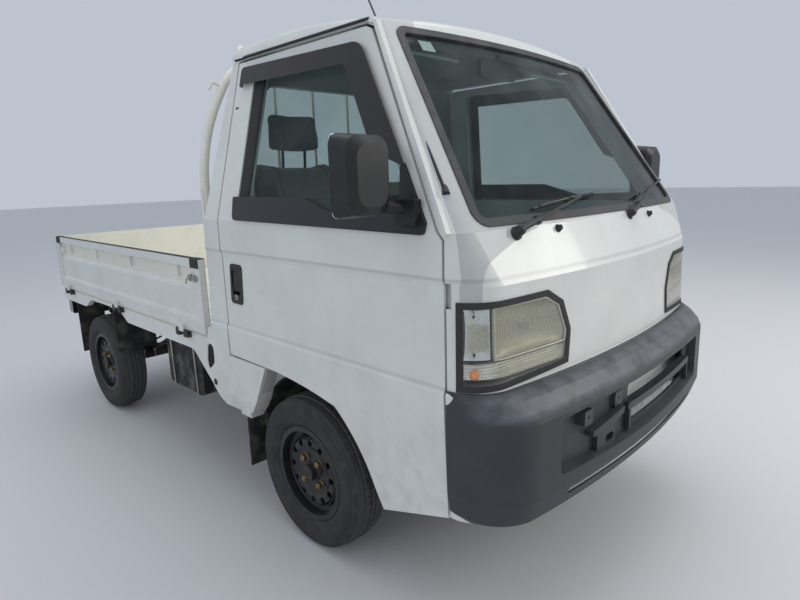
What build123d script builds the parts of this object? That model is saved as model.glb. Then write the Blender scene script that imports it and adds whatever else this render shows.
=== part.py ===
from build123d import *
import math
import os

# Kei truck, in millimetres. +Z is up, the front faces -Y, the driver's side is -X.
# The origin is on the ground, below the middle of the truck's length and width.
# Stations along Y are given from the front axle, rearwards positive, and at() turns
# them into the truck's own Y.

# Overall sizes
length = 3295
front_overhang = 885
wheelbase = 1900
track = 1200
bed_width = 1392
roof_height = 1738

# Wheels
tyre_radius = 267
tyre_width = 145
rim_radius = 167
seat_radius = 152
rim_width = 112
hub_height = tyre_radius
hub_radius = 30
drum_radius = 98
nut_circle = 110
drum_depth = 34
drum_inner = track / 2 - drum_depth

# Steering
kingpin_lean = 10.5
kingpin_foot_x = 545
kingpin_foot_z = 190
strut_top = 640
arm_reach = 66
arm_eye_radius = 9
arm_eye_x = 525
rack_radius = 7
rack_z = 214
rack_clearance = 6
rack_y = arm_reach + arm_eye_radius + rack_clearance + rack_radius

# Cab
skin = 8
side_wall = 56
front_wall = 45
roof_wall = 28
back_wall = 36
roof_edge_radius = 38
crown_radius = 2700
crown_station = 150
sheet = 6
door_seam = 7
moving_gap = 6
seal_proud = 4
door_lap = 12
glass = 5
glass_depth = 14
floor_z = 395
deck_z = 664

# Load bed
bed_front = 574
bed_floor = 655
bed_plate = 20
gate_low = 666
gate_high = 962
gate_thickness = 28
gate_gap = 8
hinge_drop = 9
hinge_out = 8
knuckle_radius = 7
sill_low = 584
fit = 0.3

axle_f = front_overhang - length / 2
bed_back = length - front_overhang - knuckle_radius - hinge_out - gate_thickness - gate_gap
gate_inner = bed_width / 2 - gate_thickness

os.makedirs("parts", exist_ok=True)


def at(y):
    """The truck's Y of a station measured from the front axle."""
    return axle_f + y


def save(piece, name):
    """Labels a finished piece and writes its file."""
    piece.label = name
    export_step(piece, f"parts/{name}.step")


def mirrored(shape):
    """The shape's image on the truck's other side."""
    return mirror(shape, about=Plane.YZ)


def block(x, y, z):
    """A box between pairs of X, station and Z values."""
    with BuildPart() as box:
        with Locations(((x[0] + x[1]) / 2, at((y[0] + y[1]) / 2), (z[0] + z[1]) / 2)):
            Box(x[1] - x[0], y[1] - y[0], z[1] - z[0])
    return box.part


def drawn(outline, way, low, high):
    """The face of an outline, drawn along X or Y between two distances."""
    way = Vector(*way)
    face = outline.face()
    if face.normal_at().dot(way) < 0:
        face = -face
    with BuildPart() as prism:
        extrude(face.moved(Location(way * low)), amount=high - low)
    return prism.part


def through(outline, x_low, x_high):
    """A side view outline drawn from x_low to x_high."""
    return drawn(outline, (1, 0, 0), x_low, x_high)


def along(outline, y_low, y_high):
    """A front view outline drawn from station y_low to y_high."""
    return drawn(outline, (0, 1, 0), at(y_low), at(y_high))


def side_prism(points, x_low, x_high):
    """A side view outline of (station, z) points, drawn from x_low to x_high."""
    with BuildSketch(Plane.YZ) as outline:
        with BuildLine():
            Polyline([(at(y), z) for y, z in points], close=True)
        make_face()
    return through(outline.sketch, x_low, x_high)


def rod(start, end, radius):
    """A round bar between two (x, station, z) points."""
    a = Vector(start[0], at(start[1]), start[2])
    b = Vector(end[0], at(end[1]), end[2])
    with BuildPart() as bar:
        with BuildSketch(Plane(origin=a, z_dir=b - a)):
            Circle(radius)
        extrude(amount=(b - a).length)
    return bar.part


def wheel_plane(x, y):
    """A plane across the wheel's axle at x, for a side view of one wheel."""
    return Plane(origin=(x, at(y), hub_height), x_dir=(0, 1, 0), z_dir=(1, 0, 0))


# Cab form, from plan sections joined by straight lines

# height, half width, front, bow radius, corner radius, back
cab_stations = [
    (250, 672, -786, 3760, 90, 565),
    (722, 691, -806, 3760, 120, 562),
    (740, 684, -800, 3760, 116, 562),
    (992, 684, -792, 3760, 110, 550),
    (1012, 690, -784, 3760, 106, 548),
    (1118, 689, -741, 4200, 62, 531),
    (1770, 558, -281, 5200, 24, 393),
]


def plan_face(z, half, front, bow, corner, back, back_corner=40):
    """A bowed front, two straight sides and a flat back, with round corners."""
    with BuildSketch(Plane.XY.offset(z)) as face:
        with BuildLine():
            drop = bow - math.sqrt(bow**2 - half**2)
            left = (-half, at(front) + drop)
            right = (half, at(front) + drop)
            ThreePointArc(left, (0, at(front)), right)
            Polyline(right, (half, at(back)), (-half, at(back)), left)
        make_face()
        fillet(face.vertices().group_by(Axis.Y)[0], corner)
        fillet(face.vertices().group_by(Axis.Y)[-1], back_corner)
    return face.sketch


def cab_form(side=0.0, ahead=0.0, roof=0.0, behind=0.0, edge=0.0):
    """The cab as a solid, drawn in from its skin by the given depths."""
    with BuildPart() as form:
        for z, half, front, bow, corner, back in cab_stations:
            radius = max(corner - 0.6 * side, 10)
            add(plan_face(z, half - side, front + ahead, bow, radius, back - behind))
        loft(ruled=True)
        top = roof_height - roof
        # one crowned roof: its cross arc turned about a far axis below the cab
        centre = top - crown_radius
        with BuildSketch(Plane.XZ.offset(-at(crown_station))):
            with BuildLine():
                ThreePointArc((-700, top - 47), (0, top), (700, top - 47))
                Polyline((700, top - 47), (700, centre + 100), (-700, centre + 100), (-700, top - 47))
            make_face()
        turn = Axis((0, at(crown_station), centre), (1, 0, 0))
        revolve(axis=turn, mode=Mode.INTERSECT)
        if edge:
            rim = [e for e in form.edges() if e.bounding_box().min.Z > 1600]
            fillet(rim, edge)
    return form.part


far_out = -150
outer = cab_form(edge=roof_edge_radius)
skin_clear = cab_form(-fit, -fit, -fit, -fit)
inner = cab_form(side_wall, front_wall, roof_wall, back_wall)
# the doors reach inwards as deep as the side walls, and their openings a little deeper
door_depth = cab_form(side_wall, far_out, far_out, far_out)
opening_depth = cab_form(side_wall + moving_gap, far_out, far_out, far_out)
under_skin = cab_form(skin, far_out, far_out, far_out)
glass_face = cab_form(glass_depth, glass_depth, glass_depth, glass_depth)
glass_back = cab_form(*[glass_depth + glass] * 4)
screen_face = cab_form(4, 4, 4, 4)
screen_back = cab_form(*[4 + glass] * 4)
proud = cab_form(*[-seal_proud] * 4)
seal_back = cab_form(16, 16, 16, 16)

# Outlines of the cab's openings

# door: station and height, from the rear seam's foot round the arch and up the pillar
door_front = -637
door_hinges = (510, 970)
door_axis_x = 693
leaf_inner = 640
leaf_outer = 680
leaf_half = 30
leaf_round = 24
arch_points = [(168, 617), (-12, 605), (-198, 573), (-300, 465), (-359, 358), (-389, 300)]


def door_outline(grow=0.0):
    """The door's outline, with its seam's width added all round."""
    with BuildSketch(Plane.YZ) as outline:
        with BuildLine():
            arch = [(at(y), z) for y, z in arch_points]
            rear_low = (at(400), 620)
            Line(rear_low, arch[0])
            ThreePointArc(arch[0], arch[1], arch[2])
            ThreePointArc(arch[2], arch[3], arch[4])
            Polyline(arch[4], arch[5], (at(door_front), 380), (at(door_front), 1100), (at(-618), 1122))
            Polyline((at(-618), 1122), (at(-319), 1633), (at(-296), 1643), (at(343), 1643))
            Polyline((at(343), 1643), (at(400), 1118), rear_low)
        make_face()
        if grow:
            offset(amount=grow, kind=Kind.INTERSECTION)
    return outline.sketch


def rounded_side(corners, shrink=0.0):
    """A side view outline from (station, z, corner radius) rows."""
    with BuildSketch(Plane.YZ) as outline:
        with BuildLine():
            Polyline(*[(at(y), z) for y, z, radius in corners], close=True)
        make_face()
        for y, z, radius in corners:
            if radius:
                fillet(outline.vertices().sort_by_distance((at(y), z))[0], radius)
        if shrink:
            offset(amount=-shrink)
    return outline.sketch


# the door's window, under its frame and above its belt: station, height, corner radius
window_corners = [(283, 1128, 14), (240, 1608, 30), (-272, 1590, 60), (-572, 1128, 14)]


def window_outline(shrink=0.0):
    """The door's window opening."""
    return rounded_side(window_corners, shrink)


def front_outline(points, radius, shrink=0.0):
    """A rounded outline in the front view, from half its (x, z) points."""
    with BuildSketch(Plane.XZ) as outline:
        with BuildLine():
            both = points + [(-x, z) for x, z in reversed(points)]
            Polyline(*both, close=True)
        make_face()
        fillet(outline.vertices(), radius)
        if shrink:
            offset(amount=-shrink)
    return outline.sketch


# the windscreen's plane, square to the glass, and its outline's half width and length
screen_foot = (-735, 1126)
screen_head = (-366, 1652)
screen_rise = Vector(0, screen_head[0] - screen_foot[0], screen_head[1] - screen_foot[1])
screen_plane = Plane(
    origin=(0, at(screen_foot[0]), screen_foot[1]),
    x_dir=(1, 0, 0),
    z_dir=Vector(1, 0, 0).cross(screen_rise),
)
screen_low_half = 624
screen_high_half = 527
screen_length = 646
screen_low_curve = 26
screen_corner = 45


def screen_prism(shrink=0.0):
    """The windscreen's opening, drawn square to its glass."""
    with BuildPart() as prism:
        with BuildSketch(screen_plane):
            with BuildLine():
                low = (screen_low_half, screen_low_curve)
                high = (screen_high_half, screen_length + 6)
                ThreePointArc((-low[0], low[1]), (0, 0), low)
                Line(low, high)
                ThreePointArc(high, (0, screen_length), (-high[0], high[1]))
                Line((-high[0], high[1]), (-low[0], low[1]))
            face = make_face()
            fillet(face.vertices(), screen_corner)
            if shrink:
                offset(amount=-shrink)
        extrude(amount=90, both=True)
    return prism.part


rear_window_half = [(-505, 1165), (-455, 1592)]
seal_width = 24


# headlamp, front view of the driver's side: x and height, clockwise from its low corner
lamp_points = [(-700, 736), (-700, 957), (-433, 960), (-372, 925), (-338, 842), (-349, 752)]
lamp_rear = -671
bezel_width = 15


def lamp_outline(shrink=0.0):
    """The driver's side lamp opening in the front view."""
    with BuildSketch(Plane.XZ) as outline:
        with BuildLine():
            Polyline(*lamp_points, close=True)
        make_face()
        fillet(outline.vertices().group_by(Axis.X)[-1], 30)
        if shrink:
            offset(amount=-shrink, kind=Kind.INTERSECTION)
    return outline.sketch


with BuildPart() as lamp_room:
    add(along(lamp_outline(), -900, lamp_rear))

# Cab shell: the fixed panels and pillars

wheel_arch = [(-389, 200), (-389, 300), (-359, 358), (-300, 465), (-198, 573), (-12, 605), (168, 617),
              (249, 463), (283, 419), (310, 405), (310, 200)]
quarter = [(170, 613), (249, 463), (283, 419), (310, 405), (480, 400), (525, 425), (564, 468), (649, 538),
           (686, 570), (700, 580), (700, 655), (570, 655), (556, 700), (407, 700), (407, 613)]
filler_corners = [(529, 634, 22), (575, 630, 26), (590, 560, 20), (584, 522, 8), (556, 538, 20),
                  (533, 560, 8)]

with BuildPart() as side_band:
    # the body's side below the belt, run back past the cab
    with BuildSketch(Plane.XZ.offset(-at(160))):
        with BuildLine():
            Polyline((632, 390), (682, 390), (688, 450), (691, 722), (684, 740), (632, 740), close=True)
        make_face()
    extrude(amount=-560)

with BuildPart() as door_opening:
    add(through(door_outline(door_seam), -720, -400))
    add(opening_depth, mode=Mode.SUBTRACT)

# rain gutter along the roof and down the windscreen pillar: its lower and its upper edge
gutter_proud = 9
gutter_line = [(383, 1659), (98, 1655), (-300, 1653), (-334, 1643), (-650, 1112), (-660, 1118), (-342, 1651),
               (-303, 1663), (98, 1666), (383, 1670)]

with BuildPart() as gutter:
    add(side_prism(gutter_line, -720, -520))
    add(cab_form(-gutter_proud, far_out, far_out, far_out), mode=Mode.INTERSECT)
    add(under_skin, mode=Mode.SUBTRACT)

with BuildPart() as quarter_panel:
    add(side_band.part)
    add(side_prism(quarter, 600, 720), mode=Mode.INTERSECT)

with BuildPart() as cab_shell:
    add(outer)
    add(inner, mode=Mode.SUBTRACT)
    add(block((-720, 720), (-900, 400), (200, 385)), mode=Mode.SUBTRACT)
    add(block((-720, 720), (380, 700), (200, 620)), mode=Mode.SUBTRACT)
    add(side_prism(wheel_arch, -720, 720), mode=Mode.SUBTRACT)
    add(door_opening.part, mode=Mode.SUBTRACT)
    add(mirrored(door_opening.part), mode=Mode.SUBTRACT)
    add(screen_prism(), mode=Mode.SUBTRACT)
    add(along(front_outline(rear_window_half, 60), 340, 700), mode=Mode.SUBTRACT)
    add(lamp_room.part, mode=Mode.SUBTRACT)
    add(mirrored(lamp_room.part), mode=Mode.SUBTRACT)
    add(quarter_panel.part)
    add(mirrored(quarter_panel.part))
    add(gutter.part)
    add(mirrored(gutter.part))
    # hinges' leaves, standing from the pillars to the doors' frames, rounded about the hinges' axis
    for side in (-1, 1):
        for z in door_hinges:
            across = sorted((side * leaf_inner, side * leaf_outer))
            along_seam = (door_front - door_seam - 8, door_front + door_lap - fit)
            add(block(across, along_seam, (z - leaf_half, z + leaf_half)))
            with Locations((side * door_axis_x, at(door_front), z)):
                Cylinder(leaf_round, 2 * leaf_half + 2, mode=Mode.SUBTRACT)
    # the filler's opening, on the driver's side
    add(through(rounded_side(filler_corners), -720, -600), mode=Mode.SUBTRACT)
save(cab_shell.part, "cab_shell")

# Doors

handle_corners = [(274, 965, 14), (352, 967, 14), (362, 823, 14), (284, 821, 14)]

with BuildPart() as lip_room:
    # behind the skin's edge the door's frame is set in
    add(through(door_outline(), -720, -400))
    add(through(door_outline(-door_lap), -720, -400), mode=Mode.SUBTRACT)
    add(under_skin, mode=Mode.INTERSECT)

with BuildPart() as door_panel_right:
    add(through(door_outline(), -720, -400))
    add(outer, mode=Mode.INTERSECT)
    add(door_depth, mode=Mode.SUBTRACT)
    add(lip_room.part, mode=Mode.SUBTRACT)
    add(through(window_outline(), -720, -400), mode=Mode.SUBTRACT)
    add(through(rounded_side(handle_corners), -720, -660), mode=Mode.SUBTRACT)

with BuildPart() as door_glass_right:
    add(through(window_outline(fit), -720, -400))
    add(glass_face, mode=Mode.INTERSECT)
    add(glass_back, mode=Mode.SUBTRACT)

# belt strip below the glass with the mirror's sail at its front: station, height, corner radius
belt_corners = [(290, 1122, 20), (296, 1200, 8), (-103, 1198, 60), (-258, 1152, 80), (-500, 1160, 10),
                (-486, 1300, 6), (-590, 1140, 8), (-586, 1112, 10), (-262, 1116, 0)]
visor_outer = [(306, 1562, 6), (300, 1622, 16), (-292, 1606, 60), (-510, 1272, 4)]
visor_inner = [(290, 1545, 6), (284, 1566, 6), (-236, 1556, 40), (-484, 1160, 4), (-400, 1160, 4),
               (290, 1160, 4)]

with BuildPart() as door_trim_right:
    # belt strip
    add(through(rounded_side(belt_corners), -720, -600))
    add(cab_form(-10, far_out, far_out, far_out), mode=Mode.INTERSECT)
    add(outer, mode=Mode.SUBTRACT)

with BuildPart() as mirror_right:
    # foot on the sail, arm and housing
    with Locations((-698, at(-540), 1166)):
        Box(24, 66, 60)
    add(rod((-700, -535, 1172), (-775, -508, 1190), 11))
    for y, width, height, radius in ((-546, 92, 140, 34), (-530, 128, 178, 36), (-478, 140, 190, 28)):
        with BuildSketch(Plane.XZ.offset(-at(y))):
            with Locations((-812, 1253)):
                RectangleRounded(width, height, radius)
    loft(ruled=True)

with BuildPart() as handle_right:
    add(through(rounded_side(handle_corners, fit), -687, -661))
    with BuildSketch(Plane.YZ.offset(-688)):
        with Locations((at(320), 900)):
            RectangleRounded(50, 90, 10)
    extrude(amount=18, mode=Mode.SUBTRACT)

with BuildPart() as turned_edge:
    # the visor's upper edge, down to the door's skin
    add(through(rounded_side(visor_outer), -760, -500))
    add(through(rounded_side(visor_outer, 5), -760, -500), mode=Mode.SUBTRACT)
    add(block((-760, -500), (-270, 290), (1590, 1640)), mode=Mode.INTERSECT)
    add(cab_form(-16, far_out, far_out, far_out), mode=Mode.INTERSECT)
    add(skin_clear, mode=Mode.SUBTRACT)

with BuildPart() as door_visor_right:
    add(through(rounded_side(visor_outer), -760, -500))
    add(through(rounded_side(visor_inner), -760, -500), mode=Mode.SUBTRACT)
    add(cab_form(-16, far_out, far_out, far_out), mode=Mode.INTERSECT)
    add(cab_form(-13, far_out, far_out, far_out), mode=Mode.SUBTRACT)
    # its upper edge is turned in to the door's frame
    add(turned_edge.part)

door_pieces = {
    "door_panel": door_panel_right.part,
    "door_glass": door_glass_right.part,
    "door_trim": Part() + [door_trim_right.part, mirror_right.part, handle_right.part],
    "door_visor": door_visor_right.part,
}
for name, piece in door_pieces.items():
    save(piece, f"{name}_right")
    save(mirrored(piece), f"{name}_left")

# Front glass and its rubber, rear glass

with BuildPart() as windscreen_seal:
    add(proud)
    add(seal_back, mode=Mode.SUBTRACT)
    add(screen_prism(fit), mode=Mode.INTERSECT)
    add(screen_prism(seal_width), mode=Mode.SUBTRACT)
save(windscreen_seal.part, "windscreen_seal")

with BuildPart() as windscreen:
    add(screen_face)
    add(screen_back, mode=Mode.SUBTRACT)
    add(screen_prism(seal_width + fit), mode=Mode.INTERSECT)
save(windscreen.part, "windscreen")

with BuildPart() as rear_window:
    add(along(front_outline(rear_window_half, 60, fit), 340, 700))
    add(glass_face, mode=Mode.INTERSECT)
    add(glass_back, mode=Mode.SUBTRACT)
save(rear_window.part, "rear_window")

# Headlamps: a rubber bezel round a side lens, a main lens and a lower strip

lamp_front = cab_form(-2, -2, -2, -2)
lamp_back = cab_form(34, 34, 34, 34)

with BuildPart() as lamp_bezel_right:
    add(along(lamp_outline(fit), -900, lamp_rear - fit))
    add(proud, mode=Mode.INTERSECT)
    add(along(lamp_outline(bezel_width), -900, lamp_rear - bezel_width), mode=Mode.SUBTRACT)
    add(cab_form(30, 30, 30, 30), mode=Mode.SUBTRACT)

lens_split = 1.5
with BuildPart() as headlamp_right:
    add(along(lamp_outline(bezel_width + fit), -900, lamp_rear - bezel_width - fit))
    add(lamp_front, mode=Mode.INTERSECT)
    add(lamp_back, mode=Mode.SUBTRACT)
    # joints between the three lenses
    add(block((-624 - lens_split / 2, -624 + lens_split / 2), (-900, -600), (812, 980)), mode=Mode.SUBTRACT)
    add(block((-700, -300), (-900, -600), (811 - lens_split / 2, 811 + lens_split / 2)), mode=Mode.SUBTRACT)

save(Part() + [lamp_bezel_right.part, mirrored(lamp_bezel_right.part)], "lamp_bezels")
save(Part() + [headlamp_right.part, mirrored(headlamp_right.part)], "headlamps")

# Bumper: a moulded cover with a number plate recess and slots

# height, half width, front, bow radius, corner radius, back
bumper_stations = [
    (385, 664, -838, 3760, 120, -500),
    (402, 678, -866, 3760, 132, -500),
    (462, 689, -front_overhang, 3760, 140, -500),
    (664, 692, 2 - front_overhang, 3760, 142, -500),
    (690, 691, -872, 3760, 138, -500),
    (716, 689, -846, 3760, 130, -500),
    (735, 688, -815, 3760, 122, -500),
]
bumper_wall = 8
# the recess in its front, which narrows inwards, and what stands in it
recess_half = 505
recess_low = 488
recess_high = 664
recess_depth = 28
recess_radius = 30
recess_taper = 15
grille_x = 150
grille_width = 520
grille_bar = 22
plate_x = -280
plate_z = 620
plate_spacing = 180
plate_hole = 4
plate_face = -862


def bumper_form(inset, low=0.0):
    """The bumper's outside as a solid, drawn in by its wall."""
    with BuildPart() as form:
        for z, half, front, bow, corner, back in bumper_stations:
            depth = inset if z < 700 else inset * 1.6
            level = z - low if z < 400 else z - inset * 0.9
            add(plan_face(level, half - inset, front + depth, bow, corner - inset, back))
        loft(ruled=True)
    return form.part


def recess_form(grow, floor):
    """The room of the front's recess, down to the bumper's form at the depth of its floor."""
    middle = (recess_low + recess_high) / 2
    with BuildPart() as form:
        with BuildSketch(Plane(origin=(0, at(-900), middle), x_dir=(1, 0, 0), z_dir=(0, 1, 0))):
            RectangleRounded(2 * (recess_half + grow), recess_high - recess_low + 2 * grow, recess_radius)
        extrude(amount=90, taper=recess_taper)
        add(floor, mode=Mode.SUBTRACT)
    return form.part


def recess_piece(outline, depth, face=-900):
    """What stands in the recess: its front view outline, up to the given depth from the bumper's face."""
    with BuildPart() as piece:
        add(along(outline, face, -780))
        add(bumper_form(depth), mode=Mode.INTERSECT)
        add(recess_floor, mode=Mode.SUBTRACT)
    return piece.part


recess_floor = bumper_form(recess_depth + 1)

with BuildSketch(Plane.XZ) as grille_frame:
    # a bar between the openings, with an upright at each end
    with Locations((grille_x, 577)):
        SlotOverall(grille_width + 50, grille_bar)
    for x in (grille_x - grille_width / 2 - 12, grille_x + grille_width / 2 + 12):
        with Locations((x, 540)):
            Rectangle(10, 74)

with BuildSketch(Plane.XZ) as bracket_shelf:
    with BuildLine():
        Polyline((-345, 556), (-345, 572), (-262, 584), (-180, 598), (-180, 578), (-262, 556), close=True)
    make_face()

with BuildSketch(Plane.XZ) as bracket_box:
    with Locations((-258, 526)):
        RectangleRounded(96, 66, 8)
    with Locations((-240, 520)):
        SlotOverall(44, 24, mode=Mode.SUBTRACT)

plate_places = [(plate_x + end * plate_spacing / 2, plate_z) for end in (-1, 1)]
plate_pads = []
for place in plate_places:
    with BuildSketch(Plane.XZ) as pad:
        with Locations(place):
            RectangleRounded(46, 42, 6)
    plate_pads.append(pad.sketch)

with BuildPart() as front_bumper:
    add(bumper_form(0))
    add(recess_form(0, bumper_form(recess_depth)), mode=Mode.SUBTRACT)
    with BuildPart(mode=Mode.PRIVATE) as hollow:
        add(bumper_form(bumper_wall, 10))
        add(recess_form(bumper_wall, bumper_form(recess_depth + bumper_wall)), mode=Mode.SUBTRACT)
    add(hollow.part, mode=Mode.SUBTRACT)
    add(recess_piece(grille_frame.sketch, 12))
    add(recess_piece(bracket_shelf.sketch, 3))
    add(recess_piece(bracket_box.sketch, 14))
    for pad_outline in plate_pads:
        add(recess_piece(pad_outline, 0, plate_face))
    add(block((-720, 720), (door_front - door_seam, -400), (300, 800)), mode=Mode.SUBTRACT)
    add(skin_clear, mode=Mode.SUBTRACT)
    # lower slot and the grille's opening
    with BuildSketch(Plane.XZ.offset(-at(-900))):
        with Locations((0, 440)):
            SlotOverall(900, 18)
        with Locations((grille_x, 612)):
            RectangleRounded(grille_width, 44, 8)
        with Locations((grille_x, 540)):
            RectangleRounded(grille_width, 50, 8)
        with Locations(*plate_places):
            Circle(plate_hole)
    extrude(amount=-120, mode=Mode.SUBTRACT)
save(front_bumper.part, "front_bumper")

# Cab floor: toe board, foot well, riser and seat deck in one bent sheet, with the wheel houses

# its upper line and, back again, its lower one
floor_line = [(-800, 620), (-742, 470), (-728, floor_z), (-352, floor_z), (-322, 600), (-300, deck_z),
              (560, deck_z), (560, deck_z - sheet), (-296, deck_z - sheet), (-316, 599),
              (-347, floor_z - sheet),
              (-733, floor_z - sheet), (-748, 469), (-806, 618)]
house_inner = 349
liner_radius = 332
liner_rear = [(246, 489), (268, 440), (300, 400), (320, 330), (326, 331), (306, 403), (274, 443), (251, 493)]

# what the doors' inner faces leave free
room = cab_form(side_wall + moving_gap, front_wall + fit, roof_wall + fit, back_wall + fit)

with BuildPart() as arch_liner:
    # over the wheel, then down behind it
    with BuildSketch(Plane.YZ.offset(house_inner - sheet / 2)):
        with BuildLine():
            rear = [(at(y), z) for y, z in liner_rear]
            outside = liner_radius + sheet
            ThreePointArc((at(-liner_radius), hub_height), (at(0), hub_height + liner_radius), rear[0])
            Polyline(*rear)
            ThreePointArc(rear[-1], (at(0), hub_height + outside), (at(-outside), hub_height))
            Line((at(-outside), hub_height), (at(-liner_radius), hub_height))
        make_face()
    extrude(amount=640 - house_inner)
    # the strut passes through a hole
    with BuildSketch(Plane.XY.offset(700)):
        with Locations((470, at(0))):
            Circle(62)
    extrude(amount=-200, mode=Mode.SUBTRACT)

with BuildPart() as cab_floor:
    add(side_prism(floor_line, -640, 640))
    # inner walls of the wheel houses
    for side in (-1, 1):
        x_low = min(side * house_inner, side * (house_inner - sheet))
        add(side_prism([(-338, floor_z), (-338, 300), (330, 300), (330, deck_z), (-302, deck_z), (-324, 600)],
                       x_low, x_low + sheet))
    add(arch_liner.part)
    add(mirrored(arch_liner.part))
    add(room, mode=Mode.INTERSECT)
save(cab_floor.part, "cab_floor")

# Dashboard, set against the front wall's inside

seat_x = 385
dash_line = [(-720, 1100), (-560, 1106), (-505, 1085), (-490, 1010), (-515, 930), (-545, 900), (-560, 780),
             (-640, 720), (-720, 720)]
hood_line = [(-640, 1098), (-560, 1128), (-486, 1124), (-474, 1108), (-492, 1070), (-520, 1060), (-640, 1060)]
with BuildPart() as dashboard:
    add(side_prism(dash_line, -700, 700))
    # hood over the instruments
    add(side_prism(hood_line, -seat_x - 165, -seat_x + 165))
    # open shelf, vents and the glove box's lid
    add(side_prism([(-530, 870), (-560, 800), (-600, 800), (-600, 870)], 130, 560), mode=Mode.SUBTRACT)
    for x in (-90, 90):
        add(block((x - 70, x + 70), (-510, -480), (1020, 1066)), mode=Mode.SUBTRACT)
    add(room, mode=Mode.INTERSECT)
save(dashboard.part, "dashboard")

# Mirror in the cab, on a stalk from the roof
with BuildPart() as cab_mirror:
    with BuildSketch(Plane.XZ.offset(-at(-318))):
        with Locations((0, 1590)):
            RectangleRounded(210, 60, 20)
    extrude(amount=-16)
    with BuildSketch(Plane.XY.offset(1600)):
        with Locations((0, at(-310))):
            Circle(8)
    extrude(amount=200)
    add(room, mode=Mode.INTERSECT)
save(cab_mirror.part, "cab_mirror")

# Seats: cushion, back and headrest, as plain closed solids

seat_half = 215
cushion = [(-250, deck_z + fit), (-262, 760), (-230, 792), (150, 776), (190, 740), (200, deck_z + fit)]
backrest = [(206, 700), (172, 780), (318, 1330), (368, 1338), (392, 1300), (300, 700)]
headrest = [(300, 1348), (296, 1400), (318, 1496), (360, 1500), (384, 1470), (380, 1348)]

with BuildPart() as seat_right:
    add(side_prism(cushion, -seat_x - seat_half, -seat_x + seat_half))
    add(side_prism(backrest, -seat_x - seat_half + 25, -seat_x + seat_half - 25))
    add(side_prism(headrest, -seat_x - 115, -seat_x + 115))
    add(rod((-seat_x - 50, 345, 1325), (-seat_x - 50, 345, 1352), 7))
    add(rod((-seat_x + 50, 345, 1325), (-seat_x + 50, 345, 1352), 7))
save(seat_right.part, "seat_right")
save(mirrored(seat_right.part), "seat_left")

# Steering column, wheel and rack

wheel_centre = (-seat_x, -300, 1030)
wheel_tilt = math.radians(33)
column_way = Vector(0, math.sin(wheel_tilt), math.cos(wheel_tilt))
steer_origin = Vector(wheel_centre[0], at(wheel_centre[1]), wheel_centre[2])
steer_plane = Plane(origin=steer_origin, x_dir=(1, 0, 0), z_dir=column_way)
rim_grip = 13
wheel_grip_radius = 180

with BuildPart() as steering_wheel:
    with BuildSketch(Plane(origin=steer_origin, x_dir=(1, 0, 0), z_dir=Vector(1, 0, 0).cross(column_way))):
        with Locations((wheel_grip_radius, 0)):
            Circle(rim_grip)
    revolve(axis=Axis(steer_origin, column_way))
    with BuildSketch(steer_plane.offset(-34)):
        Circle(56)
    extrude(amount=26)
    with BuildSketch(steer_plane.offset(-20)):
        for turn in (200, 340, 90):
            with PolarLocations((wheel_grip_radius + 30) / 2, 1, start_angle=turn):
                Rectangle(wheel_grip_radius - 30, 26)
    extrude(amount=12)
save(steering_wheel.part, "steering_wheel")

with BuildPart() as steering_column:
    with BuildSketch(steer_plane.offset(-34 - fit)):
        Circle(30)
    extrude(amount=-330)
    with BuildSketch(steer_plane.offset(-350)):
        Circle(11)
    extrude(amount=-290)
    with BuildSketch(steer_plane.offset(-70)):
        Rectangle(150, 44)
    extrude(amount=-24)
    add(side_prism([(-546.6, 885), (-551.6, 845), (-420, 845), (-420, 885)], -seat_x - 40, -seat_x + 40))
save(steering_column.part, "steering_column")

# Chassis: two rails with a kick-up behind the cab, and cross members

rail_line = [(-700, 300), (-700, 386), (430, 386), (540, 594), (2340, 594), (2340, 506), (600, 506),
             (500, 300)]
rail_inner = 270
rail_outer = 330
member_height = 80
strut_x = kingpin_foot_x - (strut_top - kingpin_foot_z) * math.tan(math.radians(kingpin_lean))

with BuildPart() as chassis_frame:
    add(side_prism(rail_line, rail_inner, rail_outer))
    add(side_prism(rail_line, -rail_outer, -rail_inner))
    for y, z in ((-660, 305), (450, 305), (740, 510), (1360, 510), (2280, 510)):
        add(block((-rail_inner, rail_inner), (y - 30, y + 30), (z, z + member_height)))
    # strut towers, between the wheel houses' tops and the seat deck
    for side in (-1, 1):
        with Locations((side * (strut_x - 10), at(0), strut_top + 10)):
            Box(150, 150, 15)
save(chassis_frame.part, "chassis_frame")

# Front cross member with the lower arms, and the rack's tube across it

arm_radius = 11
rack_tube_half = 240
with BuildPart() as front_arms:
    add(block((-rail_outer, rail_outer), (-50, 50), (206, 300 - fit)))
    for side in (-1, 1):
        # lower arm, its stay and the ball joint's housing
        add(rod((side * 320, 0, 218), (side * (kingpin_foot_x - 9), 0, 164), arm_radius))
        add(rod((side * 300, -300, 287), (side * 480, -12, 176), arm_radius))
        with Locations((side * kingpin_foot_x, at(0), 168.5)):
            Cylinder(14, 25)
    with BuildSketch(Plane.YZ.offset(-rack_tube_half)):
        with Locations((at(rack_y), rack_z)):
            Circle(22)
            Circle(rack_radius + 1, mode=Mode.SUBTRACT)
    extrude(amount=2 * rack_tube_half)
    add(block((-200, 200), (48, 72), (214, 240)))
save(front_arms.part, "front_arms")

with BuildPart() as steering_rack:
    add(rod((-arm_eye_x, rack_y, rack_z), (arm_eye_x, rack_y, rack_z), rack_radius))
    for side in (-1, 1):
        with Locations((side * 320, at(rack_y), rack_z)):
            Cylinder(18, 56, rotation=(0, 90, 0))
save(steering_rack.part, "steering_rack")

# Knuckles: strut, upright, stub axle, backing plate and steering arm

lean = math.radians(kingpin_lean)


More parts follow.
